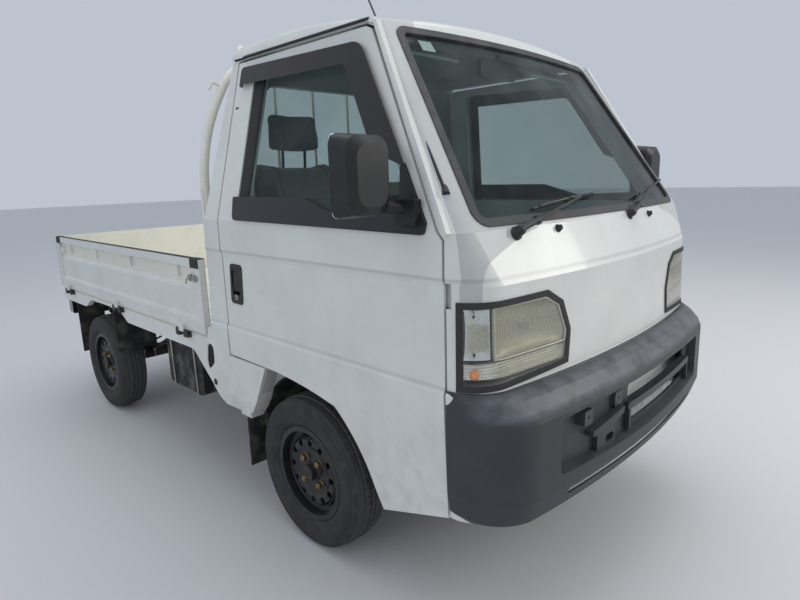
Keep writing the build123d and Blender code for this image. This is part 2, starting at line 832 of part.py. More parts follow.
def knuckle(side):
    """The steered hub carrier of one side."""
    foot = Vector(side * kingpin_foot_x, at(0), kingpin_foot_z)
    up = Vector(-side * math.sin(lean), 0, math.cos(lean))
    pin = Plane(origin=foot, x_dir=(0, 1, 0), z_dir=up)
    with BuildPart() as piece:
        # strut tube from the upright, its rod to the top mount and the spring's seat
        with BuildSketch(pin.offset(120)):
            Circle(25)
        extrude(amount=250)
        with BuildSketch(pin.offset(360)):
            Circle(11)
        extrude(amount=(strut_top - kingpin_foot_z) / math.cos(lean) - 360 - 2)
        with BuildSketch(pin.offset(364)):
            Circle(50)
        extrude(amount=8)
        # upright from the ball joint
        with BuildSketch(pin.offset(-6)):
            Circle(20)
        extrude(amount=140)
        with BuildSketch(wheel_plane(side * 516, 0)):
            Circle(40)
        extrude(amount=side * 40)
        # backing plate and stub axle
        with BuildSketch(wheel_plane(side * 546, 0)):
            Circle(drum_radius)
        extrude(amount=side * 8)
        add(block(sorted((side * 540, side * 560)), (-30, 30), (160, 186)), mode=Mode.SUBTRACT)
        with BuildSketch(wheel_plane(side * 550, 0)):
            Circle(20)
        extrude(amount=side * (drum_inner - 550 - 0.5))
        # steering arm
        with BuildSketch(Plane.XY.offset(rack_z - 9)):
            with BuildLine():
                Polyline(
                    (side * 552, at(0)),
                    (side * 522, at(0)),
                    (side * (arm_eye_x - 10), at(arm_reach)),
                    (side * (arm_eye_x + 9), at(arm_reach)),
                    close=True,
                )
            make_face()
            with Locations((side * arm_eye_x, at(arm_reach))):
                Circle(arm_eye_radius)
        extrude(amount=18)
    return piece.part


save(knuckle(-1), "knuckle_right")
save(knuckle(1), "knuckle_left")

# Wheels, made once at the origin about X with the outside towards +X

disc_out = 35
with BuildPart() as rim:
    half = rim_width / 2
    with BuildSketch(Plane.XZ):
        with BuildLine():
            Polyline(
                (half + 4, rim_radius),
                (half, rim_radius),
                (half, seat_radius),
                (28, seat_radius - 2),
                (20, 134),
                (-16, 134),
                (-24, seat_radius - 2),
                (-half, seat_radius),
                (-half, rim_radius),
                (-half - 4, rim_radius),
                (-half - 4, seat_radius - 4),
                (-27, seat_radius - 6),
                (-18, 130),
                (14, 130),
                (disc_out + 3, 110),
                (disc_out + 5, 98),
                (disc_out - 1, 90),
                (disc_out - 4, 78),
                (disc_out - 4, 0),
                (disc_out + 4, 0),
                (disc_out + 4, 34),
                (disc_out, 38),
                (disc_out + 2, 80),
                (disc_out + 10, 98),
                (disc_out + 8, 114),
                (26, 130),
                (30, seat_radius - 6),
                (half + 4, seat_radius - 4),
                close=True,
            )
        make_face()
    revolve(axis=Axis.X)
    # vent holes and the hub's dome
    with BuildSketch(Plane.YZ.offset(60)):
        with PolarLocations(104, 12):
            Circle(11)
    extrude(amount=-50, mode=Mode.SUBTRACT)
    with BuildSketch(Plane.YZ.offset(disc_out)):
        Circle(hub_radius)
    extrude(amount=26, taper=8)
    with BuildSketch(Plane.YZ.offset(disc_out)):
        with PolarLocations(nut_circle / 2, 4, start_angle=45):
            RegularPolygon(11, 6)
    extrude(amount=16)

with BuildPart() as drum:
    with BuildSketch(Plane.YZ.offset(-drum_depth)):
        Circle(drum_radius - 4)
    extrude(amount=drum_depth + disc_out - 4)

with BuildPart() as tyre:
    bead = rim_width / 2 - 0.3
    wide = tyre_width / 2
    with BuildSketch(Plane.XZ):
        with BuildLine():
            Line((-bead, seat_radius + fit), (bead, seat_radius + fit))
            Polyline((bead, seat_radius + fit), (bead, rim_radius + fit), (bead + 7, rim_radius + 3))
            ThreePointArc((bead + 7, rim_radius + 3), (wide, 214), (wide - 8, tyre_radius - 16))
            tread = (wide - 20, tyre_radius - 4)
            shoulder = (wide - 8, tyre_radius - 16)
            ThreePointArc(shoulder, (wide - 12, tyre_radius - 9), tread)
            ThreePointArc(tread, (0, tyre_radius), (-tread[0], tread[1]))
            ThreePointArc((-tread[0], tread[1]), (12 - wide, tyre_radius - 9), (-shoulder[0], shoulder[1]))
            ThreePointArc((8 - wide, tyre_radius - 16), (-wide, 214), (-bead - 7, rim_radius + 3))
            Polyline((-bead - 7, rim_radius + 3), (-bead, rim_radius + fit), (-bead, seat_radius + fit))
        make_face()
    revolve(axis=Axis.X)

for name, side, y in (("front_right", -1, 0), ("front_left", 1, 0), ("rear_right", -1, wheelbase),
                      ("rear_left", 1, wheelbase)):
    place = Location((side * track / 2, at(y), hub_height), (0, 0, 0 if side > 0 else 180))
    save(Part() + [rim.part.moved(place), drum.part.moved(place)], f"rim_{name}")
    save(tyre.part.moved(place), f"tyre_{name}")

# Rear axle, springs and shaft

with BuildPart() as rear_axle:
    with BuildSketch(wheel_plane(-track / 2 + 44, wheelbase)):
        Circle(34)
    extrude(amount=track - 88)
    with BuildSketch(Plane.XZ.offset(-at(wheelbase))):
        with BuildLine():
            half = [(120, hub_height), (110, hub_height + 60), (60, hub_height + 104)]
            Polyline(*half, *[(-x, z) for x, z in reversed(half)], close=True)
        make_face()
    revolve(axis=Axis((0, at(wheelbase), hub_height), (1, 0, 0)))
    with BuildSketch(Plane.XZ.offset(-at(wheelbase - 190))):
        with Locations((0, hub_height)):
            Circle(44)
    extrude(amount=-150)
    for side in (-1, 1):
        with BuildSketch(wheel_plane(side * 546, wheelbase)):
            Circle(drum_radius)
        extrude(amount=side * 8)
        with BuildSketch(wheel_plane(side * 550, wheelbase)):
            Circle(20)
        extrude(amount=side * (drum_inner - 550 - 0.5))
        with Locations((side * 430, at(wheelbase), hub_height + 38)):
            Box(64, 110, 10)
save(rear_axle.part, "rear_axle")

spring_half = 415
leaf = 9
spring_low = hub_height + 43 + fit
with BuildPart() as leaf_spring:
    for row, reach in enumerate((spring_half, 330, 210)):
        rise = 118 * (reach / spring_half) ** 2
        low = spring_low + leaf * (2 - row)
        with BuildSketch(Plane.YZ.offset(405)):
            with BuildLine():
                ends = [(at(wheelbase - reach), low + rise), (at(wheelbase + reach), low + rise)]
                ThreePointArc(ends[0], (at(wheelbase), low), ends[1])
                Line(ends[1], (ends[1][0], ends[1][1] + leaf))
                tops = [(y, z + leaf) for y, z in ends]
                ThreePointArc(tops[1], (at(wheelbase), low + leaf), tops[0])
                Line((ends[0][0], ends[0][1] + leaf), ends[0])
            make_face()
        extrude(amount=50)
    for end in (-1, 1):
        with BuildSketch(Plane.YZ.offset(400)):
            with Locations((at(wheelbase + end * spring_half), spring_low + 18 + 118 + 4)):
                Circle(20)
        extrude(amount=60)
        eye = wheelbase + end * spring_half
        add(block((rail_outer + fit, 470), (eye - 14, eye + 14), (spring_low + 152, sill_low - 4)))
save(Part() + [leaf_spring.part, mirrored(leaf_spring.part)], "leaf_springs")

with BuildPart() as engine:
    add(block((-200, 200), (60, 400), (300, 630)))
    add(block((-120, 120), (400, 700), (386, 520)))
    # mounts on the rails
    add(block((-rail_inner + fit, rail_inner - fit), (200, 250), (330, 370)))
save(engine.part, "engine")

with BuildPart() as prop_shaft:
    add(rod((0, 705, 430), (0, wheelbase - 195, hub_height), 26))
save(prop_shaft.part, "prop_shaft")

with BuildPart() as fuel_tank:
    add(block((-640, -352), (748, 1080), (346, 595 - fit)))
    fillet(fuel_tank.edges().filter_by(Axis.X), 26)
save(fuel_tank.part, "fuel_tank")

with BuildPart() as battery_box:
    add(block((505, 655), (745, 945), (405, 595 - fit)))
    fillet(battery_box.edges().filter_by(Axis.Z), 12)
    add(block((500, 660), (740, 950), (560, 572)))
save(battery_box.part, "battery_box")

with BuildPart() as exhaust:
    add(rod((420, 900, 430), (420, 1330, 430), 75))
    add(rod((170, 402, 420), (170, 650, 420), 20))
    add(rod((170, 640, 420), (420, 905, 430), 20))
    add(rod((475, 1325, 430), (530, 1560, 420), 20))
    # hanger on the rail
    add(block((rail_outer + fit, 420), (1100, 1130), (490, 560)))
save(exhaust.part, "exhaust")

# Load bed

deck_half = 690
quarter_inner = 632 - fit
deck_rear = length - front_overhang - 30
deck_rise = 3
deck_margin = 8
groove_width = 26
groove_depth = 5
groove_places = (-560, -440, -320, -200, 200, 320, 440, 560)
head_top = 1225
head_back = 600
margin_top = bed_floor - deck_rise
narrow_half = quarter_inner - 2
with BuildPart() as bed:
    add(block((-quarter_inner, quarter_inner), (568, 720), (bed_floor - bed_plate, margin_top)))
    add(block((-deck_half, deck_half), (700 + fit, deck_rear), (bed_floor - bed_plate, margin_top)))
    # the deck's flat part, inside the gates and behind the headboard
    flat_half = gate_inner - deck_margin
    add(block((-narrow_half, narrow_half), (head_back + deck_margin, 720), (margin_top, bed_floor)))
    add(block((-flat_half, flat_half), (720, bed_back - deck_margin), (margin_top, bed_floor)))
    # grooves pressed along the deck
    for x in groove_places:
        add(block((x - groove_width / 2, x + groove_width / 2), (bed_front + 60, bed_back - 60),
                  (bed_floor - groove_depth, bed_floor)), mode=Mode.SUBTRACT)
    # pressed ribs under the deck
    for y in (700, 960, 1230, 1500, 1760, 2020, 2290):
        add(block((-quarter_inner, quarter_inner), (y - 25, y + 25), (595, bed_floor - bed_plate)))
    sill = [(700 + fit, 580), (720, sill_low), (1395, sill_low), (1470, 622), (1530, 640), (1868, 640),
            (1930, 622), (1986, 590), (2010, sill_low), (deck_rear, sill_low), (deck_rear, margin_top),
            (700 + fit, margin_top)]
    for low, high in ((-deck_half, -deck_half + 28), (deck_half - 28, deck_half)):
        add(side_prism(sill, low, high))
    add(block((-deck_half, deck_half), (deck_rear - 28, deck_rear), (sill_low, margin_top)))
save(bed.part, "bed")

# guard frame over the headboard: a pipe bent in towards the cab's roof, its line from the middle of
# its top down one side, as x and height
frame_station = 580
frame_pipe = 17
frame_half = 632
frame_foot = 700
frame_line = [(0, 1706), (346, 1706), (447, 1678), (521, 1603), (545, 1560), (610, 1398),
              (frame_half, head_top), (frame_half, frame_foot)]
frame_bars = (-290, -97, 97, 290)

with BuildPart() as frame_side:
    with BuildLine(Plane.XZ.offset(-at(frame_station))) as frame_path:
        top, bend, bend_middle, lean, knee, side_middle, side_top, foot = frame_line
        Line(top, bend)
        ThreePointArc(bend, bend_middle, lean)
        Line(lean, knee)
        ThreePointArc(knee, side_middle, side_top)
        Line(side_top, foot)
    with BuildSketch(Plane.YZ):
        with Locations((at(frame_station), top[1])):
            Circle(frame_pipe)
    sweep(path=frame_path.wires()[0])
    # rope hook, and a tab with its hole on the pipe's top
    add(rod((lean[0], frame_station, lean[1]), (562, frame_station, 1616), 5))
    with Locations((562, at(frame_station), 1616)):
        Sphere(5)
    add(rod((562, frame_station, 1616), (580, frame_station, 1588), 5))
    with BuildSketch(Plane.XZ.offset(-at(frame_station - 3))):
        with BuildLine():
            Polyline((440, 1690), (400, 1700), (404, 1736), (424, 1762), (438, 1762), (446, 1750), close=True)
        make_face()
        with Locations((428, 1746)):
            Circle(6, mode=Mode.SUBTRACT)
    extrude(amount=-6)

with BuildPart() as headboard:
    add(block((-650, 650), (570, 590), (bed_floor, head_top)))
    # its foot stands on the deck's lower margin, between the cab's quarter panels
    add(block((-narrow_half, narrow_half), (570, 590), (margin_top, bed_floor)))
    # ribs
    for x in (-430, -215, 0, 215, 430):
        add(block((x - 30, x + 30), (590, head_back), (700, head_top - 50)))
    for x in frame_bars:
        add(rod((x, frame_station, head_top), (x, frame_station, top[1]), 6))
    add(frame_side.part)
    add(mirrored(frame_side.part))
save(headboard.part, "headboard")

# Gates: pressed panels with a top rail, hinged below their outer face

hinge_z = gate_low - hinge_drop
gate_recess = 12
gate_section = [(0, gate_low), (27, gate_low), (27, 716), (20, 734), (20, 838), (gate_recess, 858),
                (gate_recess, 929), (gate_thickness, 929), (gate_thickness, gate_high), (0, gate_high)]
hinge_x = gate_inner + gate_thickness + hinge_out
gate_knuckle = 40
hook_radius = 5
hook_low = 878
hook_foot = hook_low + 2 * hook_radius
# the hooks stand just inside the rail's outer face
hook_out = gate_thickness - hook_radius - 1
hook_x = gate_inner + hook_out
side_hooks = (772, 1265, 1720, 2130)
tail_hooks = (-430, -145, 145, 430)
side_hinges = (756, 1474, 2221)
tail_hinges = (-460, 0, 460)


def gate(plane, width):
    """A gate panel: its section drawn along the truck or across it."""
    with BuildPart() as panel:
        with BuildSketch(plane):
            with BuildLine():
                Polyline(*gate_section, close=True)
            make_face()
        extrude(amount=width)
    return panel.part


def latch(y_low, y_high, pin_end):
    """A side gate's latch: its plate, its lever and the pin that reaches the post."""
    middle = (y_low + y_high) / 2
    with BuildPart() as piece:
        add(block((gate_inner + gate_recess, gate_inner + 20), (y_low, y_high), (864, 904)))
        add(block((gate_inner + 20, gate_inner + 25), (middle - 22, middle + 22), (872, 896)))
        add(rod((gate_inner + 18, pin_end, 884), (gate_inner + 18, middle, 884), 5))
    return piece.part


side_length = bed_back - bed_front
side_plane = Plane(origin=(gate_inner, at(bed_back), 0), x_dir=(1, 0, 0), z_dir=(0, -1, 0))
with BuildPart() as gate_left:
    add(gate(side_plane, side_length))
    for y in (bed_front, bed_back - 36):
        # end stiles
        add(block((gate_inner, gate_inner + 27), (y, y + 36), (gate_low, 929)))
    add(latch(bed_front + 42, bed_front + 104, bed_front + 4))
    add(latch(bed_back - 104, bed_back - 42, bed_back - 4))
    for y in side_hooks:
        # rope hook, from under the rail down, with its foot on the panel
        add(rod((hook_x, y, 929), (hook_x, y, hook_low), hook_radius))
        add(rod((hook_x, y, hook_foot), (gate_inner + gate_recess, y, hook_foot), hook_radius - 1))
    for y in side_hinges:
        with BuildSketch(Plane.XZ.offset(-at(y - gate_knuckle / 2))):
            with Locations((hinge_x, hinge_z)):
                Circle(knuckle_radius)
        extrude(amount=-gate_knuckle)
        add(block((gate_inner + 27, hinge_x + knuckle_radius), (y - gate_knuckle / 2, y + gate_knuckle / 2),
                  (hinge_z, gate_low + 22)))
save(gate_left.part, "gate_left")
save(mirrored(gate_left.part), "gate_right")

tail_width = 2 * (gate_inner + gate_thickness)
tail_inner = bed_back + gate_gap
tail_plane = Plane(origin=(-tail_width / 2, at(tail_inner), 0), x_dir=(0, 1, 0), z_dir=(1, 0, 0))
tail_hinge_y = tail_inner + gate_thickness + hinge_out
with BuildPart() as tailgate:
    add(gate(tail_plane, tail_width))
    for x in (-tail_width / 2, tail_width / 2 - 36):
        add(block((x, x + 36), (tail_inner, tail_inner + 27), (gate_low, 929)))
    for x in tail_hinges:
        with BuildSketch(Plane.YZ.offset(x - gate_knuckle / 2)):
            with Locations((at(tail_hinge_y), hinge_z)):
                Circle(knuckle_radius)
        extrude(amount=gate_knuckle)
        add(block((x - gate_knuckle / 2, x + gate_knuckle / 2),
                  (tail_inner + 27, tail_hinge_y + knuckle_radius), (hinge_z, gate_low + 22)))
    for x in tail_hooks:
        hook_y = tail_inner + hook_out
        add(rod((x, hook_y, 929), (x, hook_y, hook_low), hook_radius))
        add(rod((x, hook_y, hook_foot), (x, tail_inner + gate_recess, hook_foot), hook_radius - 1))
    # latch levers at the corners
    for side in (-1, 1):
        x = sorted((side * (tail_width / 2 - 40), side * (tail_width / 2 - 110)))
        add(block(x, (tail_inner + gate_recess, tail_inner + 20), (864, 904)))
        x = sorted((side * (tail_width / 2 - 52), side * (tail_width / 2 - 98)))
        add(block(x, (tail_inner + 20, tail_inner + 26), (872, 896)))
save(tailgate.part, "tailgate")

# fixed halves of the hinges, on the sills
with BuildPart() as gate_hinges:
    for y in side_hinges:
        for end in (-1, 1):
            low = y + end * (gate_knuckle / 2 + 0.5) - (30 if end < 0 else 0)
            with BuildSketch(Plane.XZ.offset(-at(low))):
                with Locations((hinge_x, hinge_z)):
                    Circle(knuckle_radius)
            extrude(amount=-30)
            add(block((deck_half, hinge_x + knuckle_radius), (low, low + 30), (hinge_z - 24, hinge_z)))
    add(mirrored(gate_hinges.part))
    for x in tail_hinges:
        for end in (-1, 1):
            low = x + end * (gate_knuckle / 2 + 0.5) - (30 if end < 0 else 0)
            with BuildSketch(Plane.YZ.offset(low)):
                with Locations((at(tail_hinge_y), hinge_z)):
                    Circle(knuckle_radius)
            extrude(amount=30)
            add(block((low, low + 30), (deck_rear, tail_hinge_y + knuckle_radius), (hinge_z - 24, hinge_z)))
save(gate_hinges.part, "gate_hinges")

# Rear bar, lamps, flaps and guards

with BuildPart() as rear_bar:
    add(block((-520, 520), (2340 + fit, deck_rear), (470, sill_low - fit)))
    # two long slots in its face
    for x in (-260, 260):
        with BuildSketch(Plane.XZ.offset(-at(2330))):
            with Locations((x, 527)):
                SlotOverall(360, 40)
        extrude(amount=-90, mode=Mode.SUBTRACT)
save(rear_bar.part, "rear_bar")

lamp_width = 150
lamp_half_height = (sill_low - fit - 490) / 2
with BuildPart() as tail_lamps:
    for side in (-1, 1):
        with BuildSketch(Plane.XZ.offset(-at(deck_rear - 50))):
            with Locations((side * 596, 490 + lamp_half_height)):
                RectangleRounded(lamp_width, 2 * lamp_half_height, 9)
        extrude(amount=-60)
        # grooves between its three lenses
        for x in (side * (596 - 26), side * (596 + 30)):
            add(block((x - 1, x + 1), (deck_rear + 7, deck_rear + 20), (480, 600)), mode=Mode.SUBTRACT)
save(tail_lamps.part, "tail_lamps")

flap = 5
with BuildPart() as mud_flaps:
    for side in (-1, 1):
        x = sorted((side * 540, side * 684))
        add(block(x, (326, 326 + flap), (190, 385 - fit)))
        add(block(x, (2186, 2186 + flap), (280, sill_low - fit)))
        guard = sorted((side * 480, side * 684))
        add(block(guard, (1600, 1600 + flap), (390, bed_floor - bed_plate - fit)))
save(mud_flaps.part, "mud_flaps")

# Wipers lying low on the glass, and the antenna on the pillar

glass_up = screen_plane.y_dir
glass_out = screen_plane.z_dir


def on_screen(u, v, lift):
    """A point over the windscreen: across, up the glass and out from its bowed face."""
    drop = 4400 - math.sqrt(4400**2 - u**2)
    point = screen_plane.origin + glass_up * v + glass_out * lift + Vector(u, drop, 0)
    return (point.X, point.Y - axle_f, point.Z)


with BuildPart() as wipers:
    for pivot, tip, blade in (((-500, -22), (-190, 49), ((-410, 34), (70, 66))),
                              ((100, -14), (345, 60), ((205, 40), (600, 96)))):
        base = on_screen(pivot[0], pivot[1], -14)
        top = on_screen(pivot[0], pivot[1], 30)
        add(rod(base, top, 13))
        add(rod(on_screen(*pivot, 26), on_screen(*tip, 26), 6))
        add(rod(on_screen(*blade[0], 15), on_screen(*blade[1], 15), 6))
        add(rod(on_screen(*tip, 30), on_screen(*tip, 12), 7))
    add(skin_clear, mode=Mode.SUBTRACT)
save(wipers.part, "wipers")

with BuildPart() as antenna:
    add(rod((-652, -622, 1206), (-566, -352, 1596), 4))
    add(rod((-566, -352, 1596), (-545, -285, 1690), 2.5))
    add(rod((-545, -285, 1690), (-520, -205, 1800), 2.5))
    add(rod((-636, -600, 1226), (-652, -622, 1206), 9))
    add(rod((-576, -384, 1550), (-566, -352, 1596), 7))
    add(skin_clear, mode=Mode.SUBTRACT)
save(antenna.part, "antenna")
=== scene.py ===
"""Dresses the kei truck's frame: its finishes, tyres, lamps, seats, cab fittings and small hardware."""

import math

import bmesh
import bpy
from bpy.props import FloatProperty, FloatVectorProperty, IntProperty, PointerProperty
from mathutils import Matrix, Vector


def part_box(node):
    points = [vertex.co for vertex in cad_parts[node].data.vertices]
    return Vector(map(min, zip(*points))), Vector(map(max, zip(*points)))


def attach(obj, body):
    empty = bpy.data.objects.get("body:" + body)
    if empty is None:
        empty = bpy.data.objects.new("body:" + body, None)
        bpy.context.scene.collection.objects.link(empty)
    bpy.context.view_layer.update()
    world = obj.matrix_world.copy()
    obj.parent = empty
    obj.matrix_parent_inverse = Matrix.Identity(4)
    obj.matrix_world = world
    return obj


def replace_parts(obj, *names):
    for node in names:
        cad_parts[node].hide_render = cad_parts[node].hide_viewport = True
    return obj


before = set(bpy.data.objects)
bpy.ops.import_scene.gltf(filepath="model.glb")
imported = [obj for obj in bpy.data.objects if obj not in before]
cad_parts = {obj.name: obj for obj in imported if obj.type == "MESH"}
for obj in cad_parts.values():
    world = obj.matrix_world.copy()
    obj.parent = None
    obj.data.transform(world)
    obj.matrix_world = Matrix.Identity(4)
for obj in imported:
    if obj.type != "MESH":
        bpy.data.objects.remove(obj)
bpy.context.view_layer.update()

bl_info = {
    "name": "Kei Truck Dresser",
    "version": (1, 0, 0),
    "blender": (4, 5, 0),
    "location": "View3D > Sidebar > Kei Truck",
    "description": "Finishes and fittings for the kei truck's frame",
    "category": "Add Mesh",
}

# Rows of places are in millimetres: across, station, height. A station is measured rearwards from the
# front axle. Radii, thicknesses and single distances are in metres.
front_hub = (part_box("rim_front_right")[0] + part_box("rim_front_right")[1]) / 2
rear_hub = (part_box("rim_rear_right")[0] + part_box("rim_rear_right")[1]) / 2
front_axle = front_hub.y
hub_height = 0.267
track_half = 0.6
SIDES = {"right": -1, "left": 1}
WHEELS = {
    "front_right": (-1, front_hub.y),
    "front_left": (1, front_hub.y),
    "rear_right": (-1, rear_hub.y),
    "rear_left": (1, rear_hub.y),
}


def spot(x, station, z):
    """A point of the frame from millimetres: across, rearwards of the front axle, up."""
    return Vector((x / 1000, front_axle + station / 1000, z / 1000))


def spots(rows):
    """Several such points."""
    return [spot(*row) for row in rows]


# Shader building


class Wire:
    """A shader socket that sums can be written with. Each operator adds its Math node."""

    def __init__(self, finish, socket):
        self.finish = finish
        self.socket = socket

    def joined(self, operation, first, second=0.0):
        made = self.finish.node("Math", {"operation": operation}, {0: first, 1: second})
        return Wire(self.finish, made.outputs[0])

    def __add__(self, other):
        return self.joined("ADD", self, other)

    def __radd__(self, other):
        return self.joined("ADD", other, self)

    def __sub__(self, other):
        return self.joined("SUBTRACT", self, other)

    def __rsub__(self, other):
        return self.joined("SUBTRACT", other, self)

    def __mul__(self, other):
        return self.joined("MULTIPLY", self, other)

    def __rmul__(self, other):
        return self.joined("MULTIPLY", other, self)

    def __pow__(self, other):
        return self.joined("POWER", self, other)

    def __gt__(self, other):
        return self.joined("GREATER_THAN", self, other)

    def __lt__(self, other):
        return self.joined("LESS_THAN", self, other)

    def __abs__(self):
        return self.joined("ABSOLUTE", self)


class Finish:
    """A material in the making, on one Principled shader."""

    def __init__(self, name, **constants):
        self.material = bpy.data.materials.new(name)
        self.material.use_nodes = True
        self.tree = self.material.node_tree
        self.shader = self.tree.nodes["Principled BSDF"]
        self.output = self.tree.nodes["Material Output"]
        place = self.node("TexCoord")
        self.place = Wire(self, place.outputs["Object"])
        parts = self.node("SeparateXYZ", {}, {0: self.place})
        self.x, self.y, self.z = [Wire(self, parts.outputs[i]) for i in range(3)]
        for key, value in constants.items():
            self.shader.inputs[key.replace("_", " ").title().replace("Ior", "IOR")].default_value = value

    def node(self, kind, settings=None, inputs=None):
        """Any node: its settings are set first, then its sockets get their values or links."""
        made = self.tree.nodes.new("ShaderNode" + kind)
        for key, value in (settings or {}).items():
            setattr(made, key, value)
        for key, value in (inputs or {}).items():
            self.feed(made.inputs[key], value)
        return made

    def feed(self, socket, value):
        """Links a wire to a socket, or sets the socket's value."""
        if isinstance(value, Wire):
            self.tree.links.new(value.socket, socket)
        elif isinstance(value, tuple) and len(value) == 3 and len(socket.default_value) == 4:
            socket.default_value = (*value, 1.0)
        else:
            socket.default_value = value

    def set(self, **values):
        """Feeds the shader's sockets, named with underscores."""
        for key, value in values.items():
            self.feed(self.shader.inputs[key.replace("_", " ").title()], value)

    def noise(self, scale, detail=3.0, roughness=0.55, stretch=(1, 1, 1)):
        """Noise from 0 to 1 on the piece's own coordinates."""
        place = self.place
        if stretch != (1, 1, 1):
            place = Wire(self, self.node("Mapping", {}, {"Vector": place, "Scale": stretch}).outputs[0])
        made = self.node("TexNoise", {}, {"Vector": place, "Scale": scale, "Detail": detail,
                                          "Roughness": roughness})
        return Wire(self, made.outputs[0])

    def cells(self, scale):
        """Distance to the nearest of scattered points."""
        made = self.node("TexVoronoi", {"feature": "F1"}, {"Vector": self.place, "Scale": scale})
        return Wire(self, made.outputs["Distance"])

    def waves(self, scale, direction):
        """Sine bands across a direction."""
        made = self.node("TexWave", {"bands_direction": direction}, {
            "Vector": self.place, "Scale": scale, "Distortion": 0.0, "Detail": 0.0})
        return Wire(self, made.outputs[1])

    def between(self, value, low, high):
        """A value's place between two others, from 0 to 1, and held there."""
        made = self.node("MapRange", {"interpolation_type": "SMOOTHSTEP"}, {
            "Value": value, "From Min": low, "From Max": high, "To Min": 0.0, "To Max": 1.0})
        return Wire(self, made.outputs[0])

    def mix(self, factor, first, second):
        """One colour going over to another."""
        made = self.node("Mix", {"data_type": "RGBA"}, {0: factor, 6: first, 7: second})
        return Wire(self, made.outputs[2])

    def bump(self, height, strength, distance):
        """Fine relief on the shader's normal."""
        made = self.node("Bump", {}, {"Height": height, "Strength": strength, "Distance": distance})
        self.feed(self.shader.inputs["Normal"], Wire(self, made.outputs[0]))

    def see_through(self, tint, factor):
        """Lets light through by a tinted share, and keeps the shader's gloss for the rest."""
        clear = self.node("BsdfTransparent", {}, {"Color": tint})
        mixer = self.node("MixShader", {}, {0: factor, 1: Wire(self, clear.outputs[0]),
                                            2: Wire(self, self.shader.outputs[0])})
        self.feed(self.output.inputs["Surface"], Wire(self, mixer.outputs[0]))

    def facing(self, blend):
        """How much the surface turns away from the eye, for gloss alone."""
        return Wire(self, self.node("LayerWeight", {}, {"Blend": blend}).outputs["Facing"])


# Modelling by hand, in code


def only(piece):
    """Makes one piece the selected and active one."""
    if bpy.context.object and bpy.context.object.mode != "OBJECT":
        bpy.ops.object.mode_set(mode="OBJECT")
    bpy.ops.object.select_all(action="DESELECT")
    piece.select_set(True)
    bpy.context.view_layer.objects.active = piece
    return piece


def named(name):
    """Names the piece that was just added."""
    piece = bpy.context.object
    piece.name = name
    piece.data.name = name
    return piece


def settle(piece):
    """Puts a piece's place, turn and scale into its mesh."""
    only(piece)
    bpy.ops.object.transform_apply(location=True, rotation=True, scale=True)
    return piece


def modify(piece, kind, **settings):
    """Adds a modifier and applies it."""
    only(piece)
    modifier = piece.modifiers.new(kind.title(), kind)
    for key, value in settings.items():
        setattr(modifier, key, value)
    bpy.ops.object.modifier_apply(modifier=modifier.name)
    return piece


def pick(piece, test):
    """In edit mode, selects the faces that a test of place and normal accepts."""
    mesh = bmesh.from_edit_mesh(piece.data)
    for group in (mesh.faces, mesh.edges, mesh.verts):
        for item in group:
            item.select = False
    for face in mesh.faces:
        if test(face.calc_center_median(), face.normal):
            face.select_set(True)
    mesh.select_flush_mode()
    bmesh.update_edit_mesh(piece.data)


def edit(piece, select="FACE"):
    """Opens a piece in edit mode with nothing selected."""
    only(piece)
    bpy.ops.object.mode_set(mode="EDIT")
    bpy.ops.mesh.select_mode(type=select)
    bpy.ops.mesh.select_all(action="DESELECT")


def done(piece, outward=False, doubles=0.0):
    """Closes edit mode, merging what meets and turning the faces outwards if asked."""
    if doubles or outward:
        bpy.ops.mesh.select_all(action="SELECT")
    if doubles:
        bpy.ops.mesh.remove_doubles(threshold=doubles)
    if outward:
        bpy.ops.mesh.normals_make_consistent(inside=False)
    bpy.ops.object.mode_set(mode="OBJECT")
    return piece


def raw(name, points, faces=(), edges=()):
    """A mesh piece from its points."""
    mesh = bpy.data.meshes.new(name)
    mesh.from_pydata([tuple(p) for p in points], list(edges), list(faces))
    piece = bpy.data.objects.new(name, mesh)
    bpy.context.scene.collection.objects.link(piece)
    return only(piece)


def block(name, low, high, radius=0.002, segments=2):
    """A block between two corners with its edges rounded."""
    low, high = Vector(low), Vector(high)
    bpy.ops.mesh.primitive_cube_add(size=1, location=(low + high) / 2)
    piece = named(name)
    piece.scale = high - low
    settle(piece)
    return modify(piece, "BEVEL", width=radius, segments=segments)


def side_block(name, side, across, along, up, radius):
    """A rounded block on one side of the truck, from ranges of millimetres across, rearwards and up."""
    near, far = sorted((side * across[0], side * across[1]))
    return block(name, spot(near, along[0], up[0]), spot(far, along[1], up[1]), radius)


def plate(name, corners, way, radius=0.0, segments=2):
    """A plate: an outline's corners carried along a vector, with its edges rounded."""
    piece = raw(name, corners, [range(len(corners))])
    edit(piece)
    bpy.ops.mesh.select_all(action="SELECT")
    bpy.ops.mesh.extrude_region_move(TRANSFORM_OT_translate={"value": tuple(way)})
    done(piece, outward=True)
    if radius:
        modify(piece, "BEVEL", width=radius, segments=segments, limit_method="ANGLE")
    return piece


def tube(name, points, radius, closed=False, smooth=True, sides=3):
    """A bar or hose along points."""
    curve = bpy.data.curves.new(name, "CURVE")
    curve.dimensions = "3D"
    line = curve.splines.new("NURBS" if smooth else "POLY")
    line.points.add(len(points) - 1)
    for point, place in zip(line.points, points):
        point.co = (*place, 1.0)
    if smooth:
        line.order_u = 3
        line.use_endpoint_u = not closed
    line.use_cyclic_u = closed
    curve.bevel_depth = radius
    curve.bevel_resolution = sides
    curve.use_fill_caps = True
    piece = bpy.data.objects.new(name, curve)
    bpy.context.scene.collection.objects.link(piece)
    only(piece)
    bpy.ops.object.convert(target="MESH")
    return named(name)


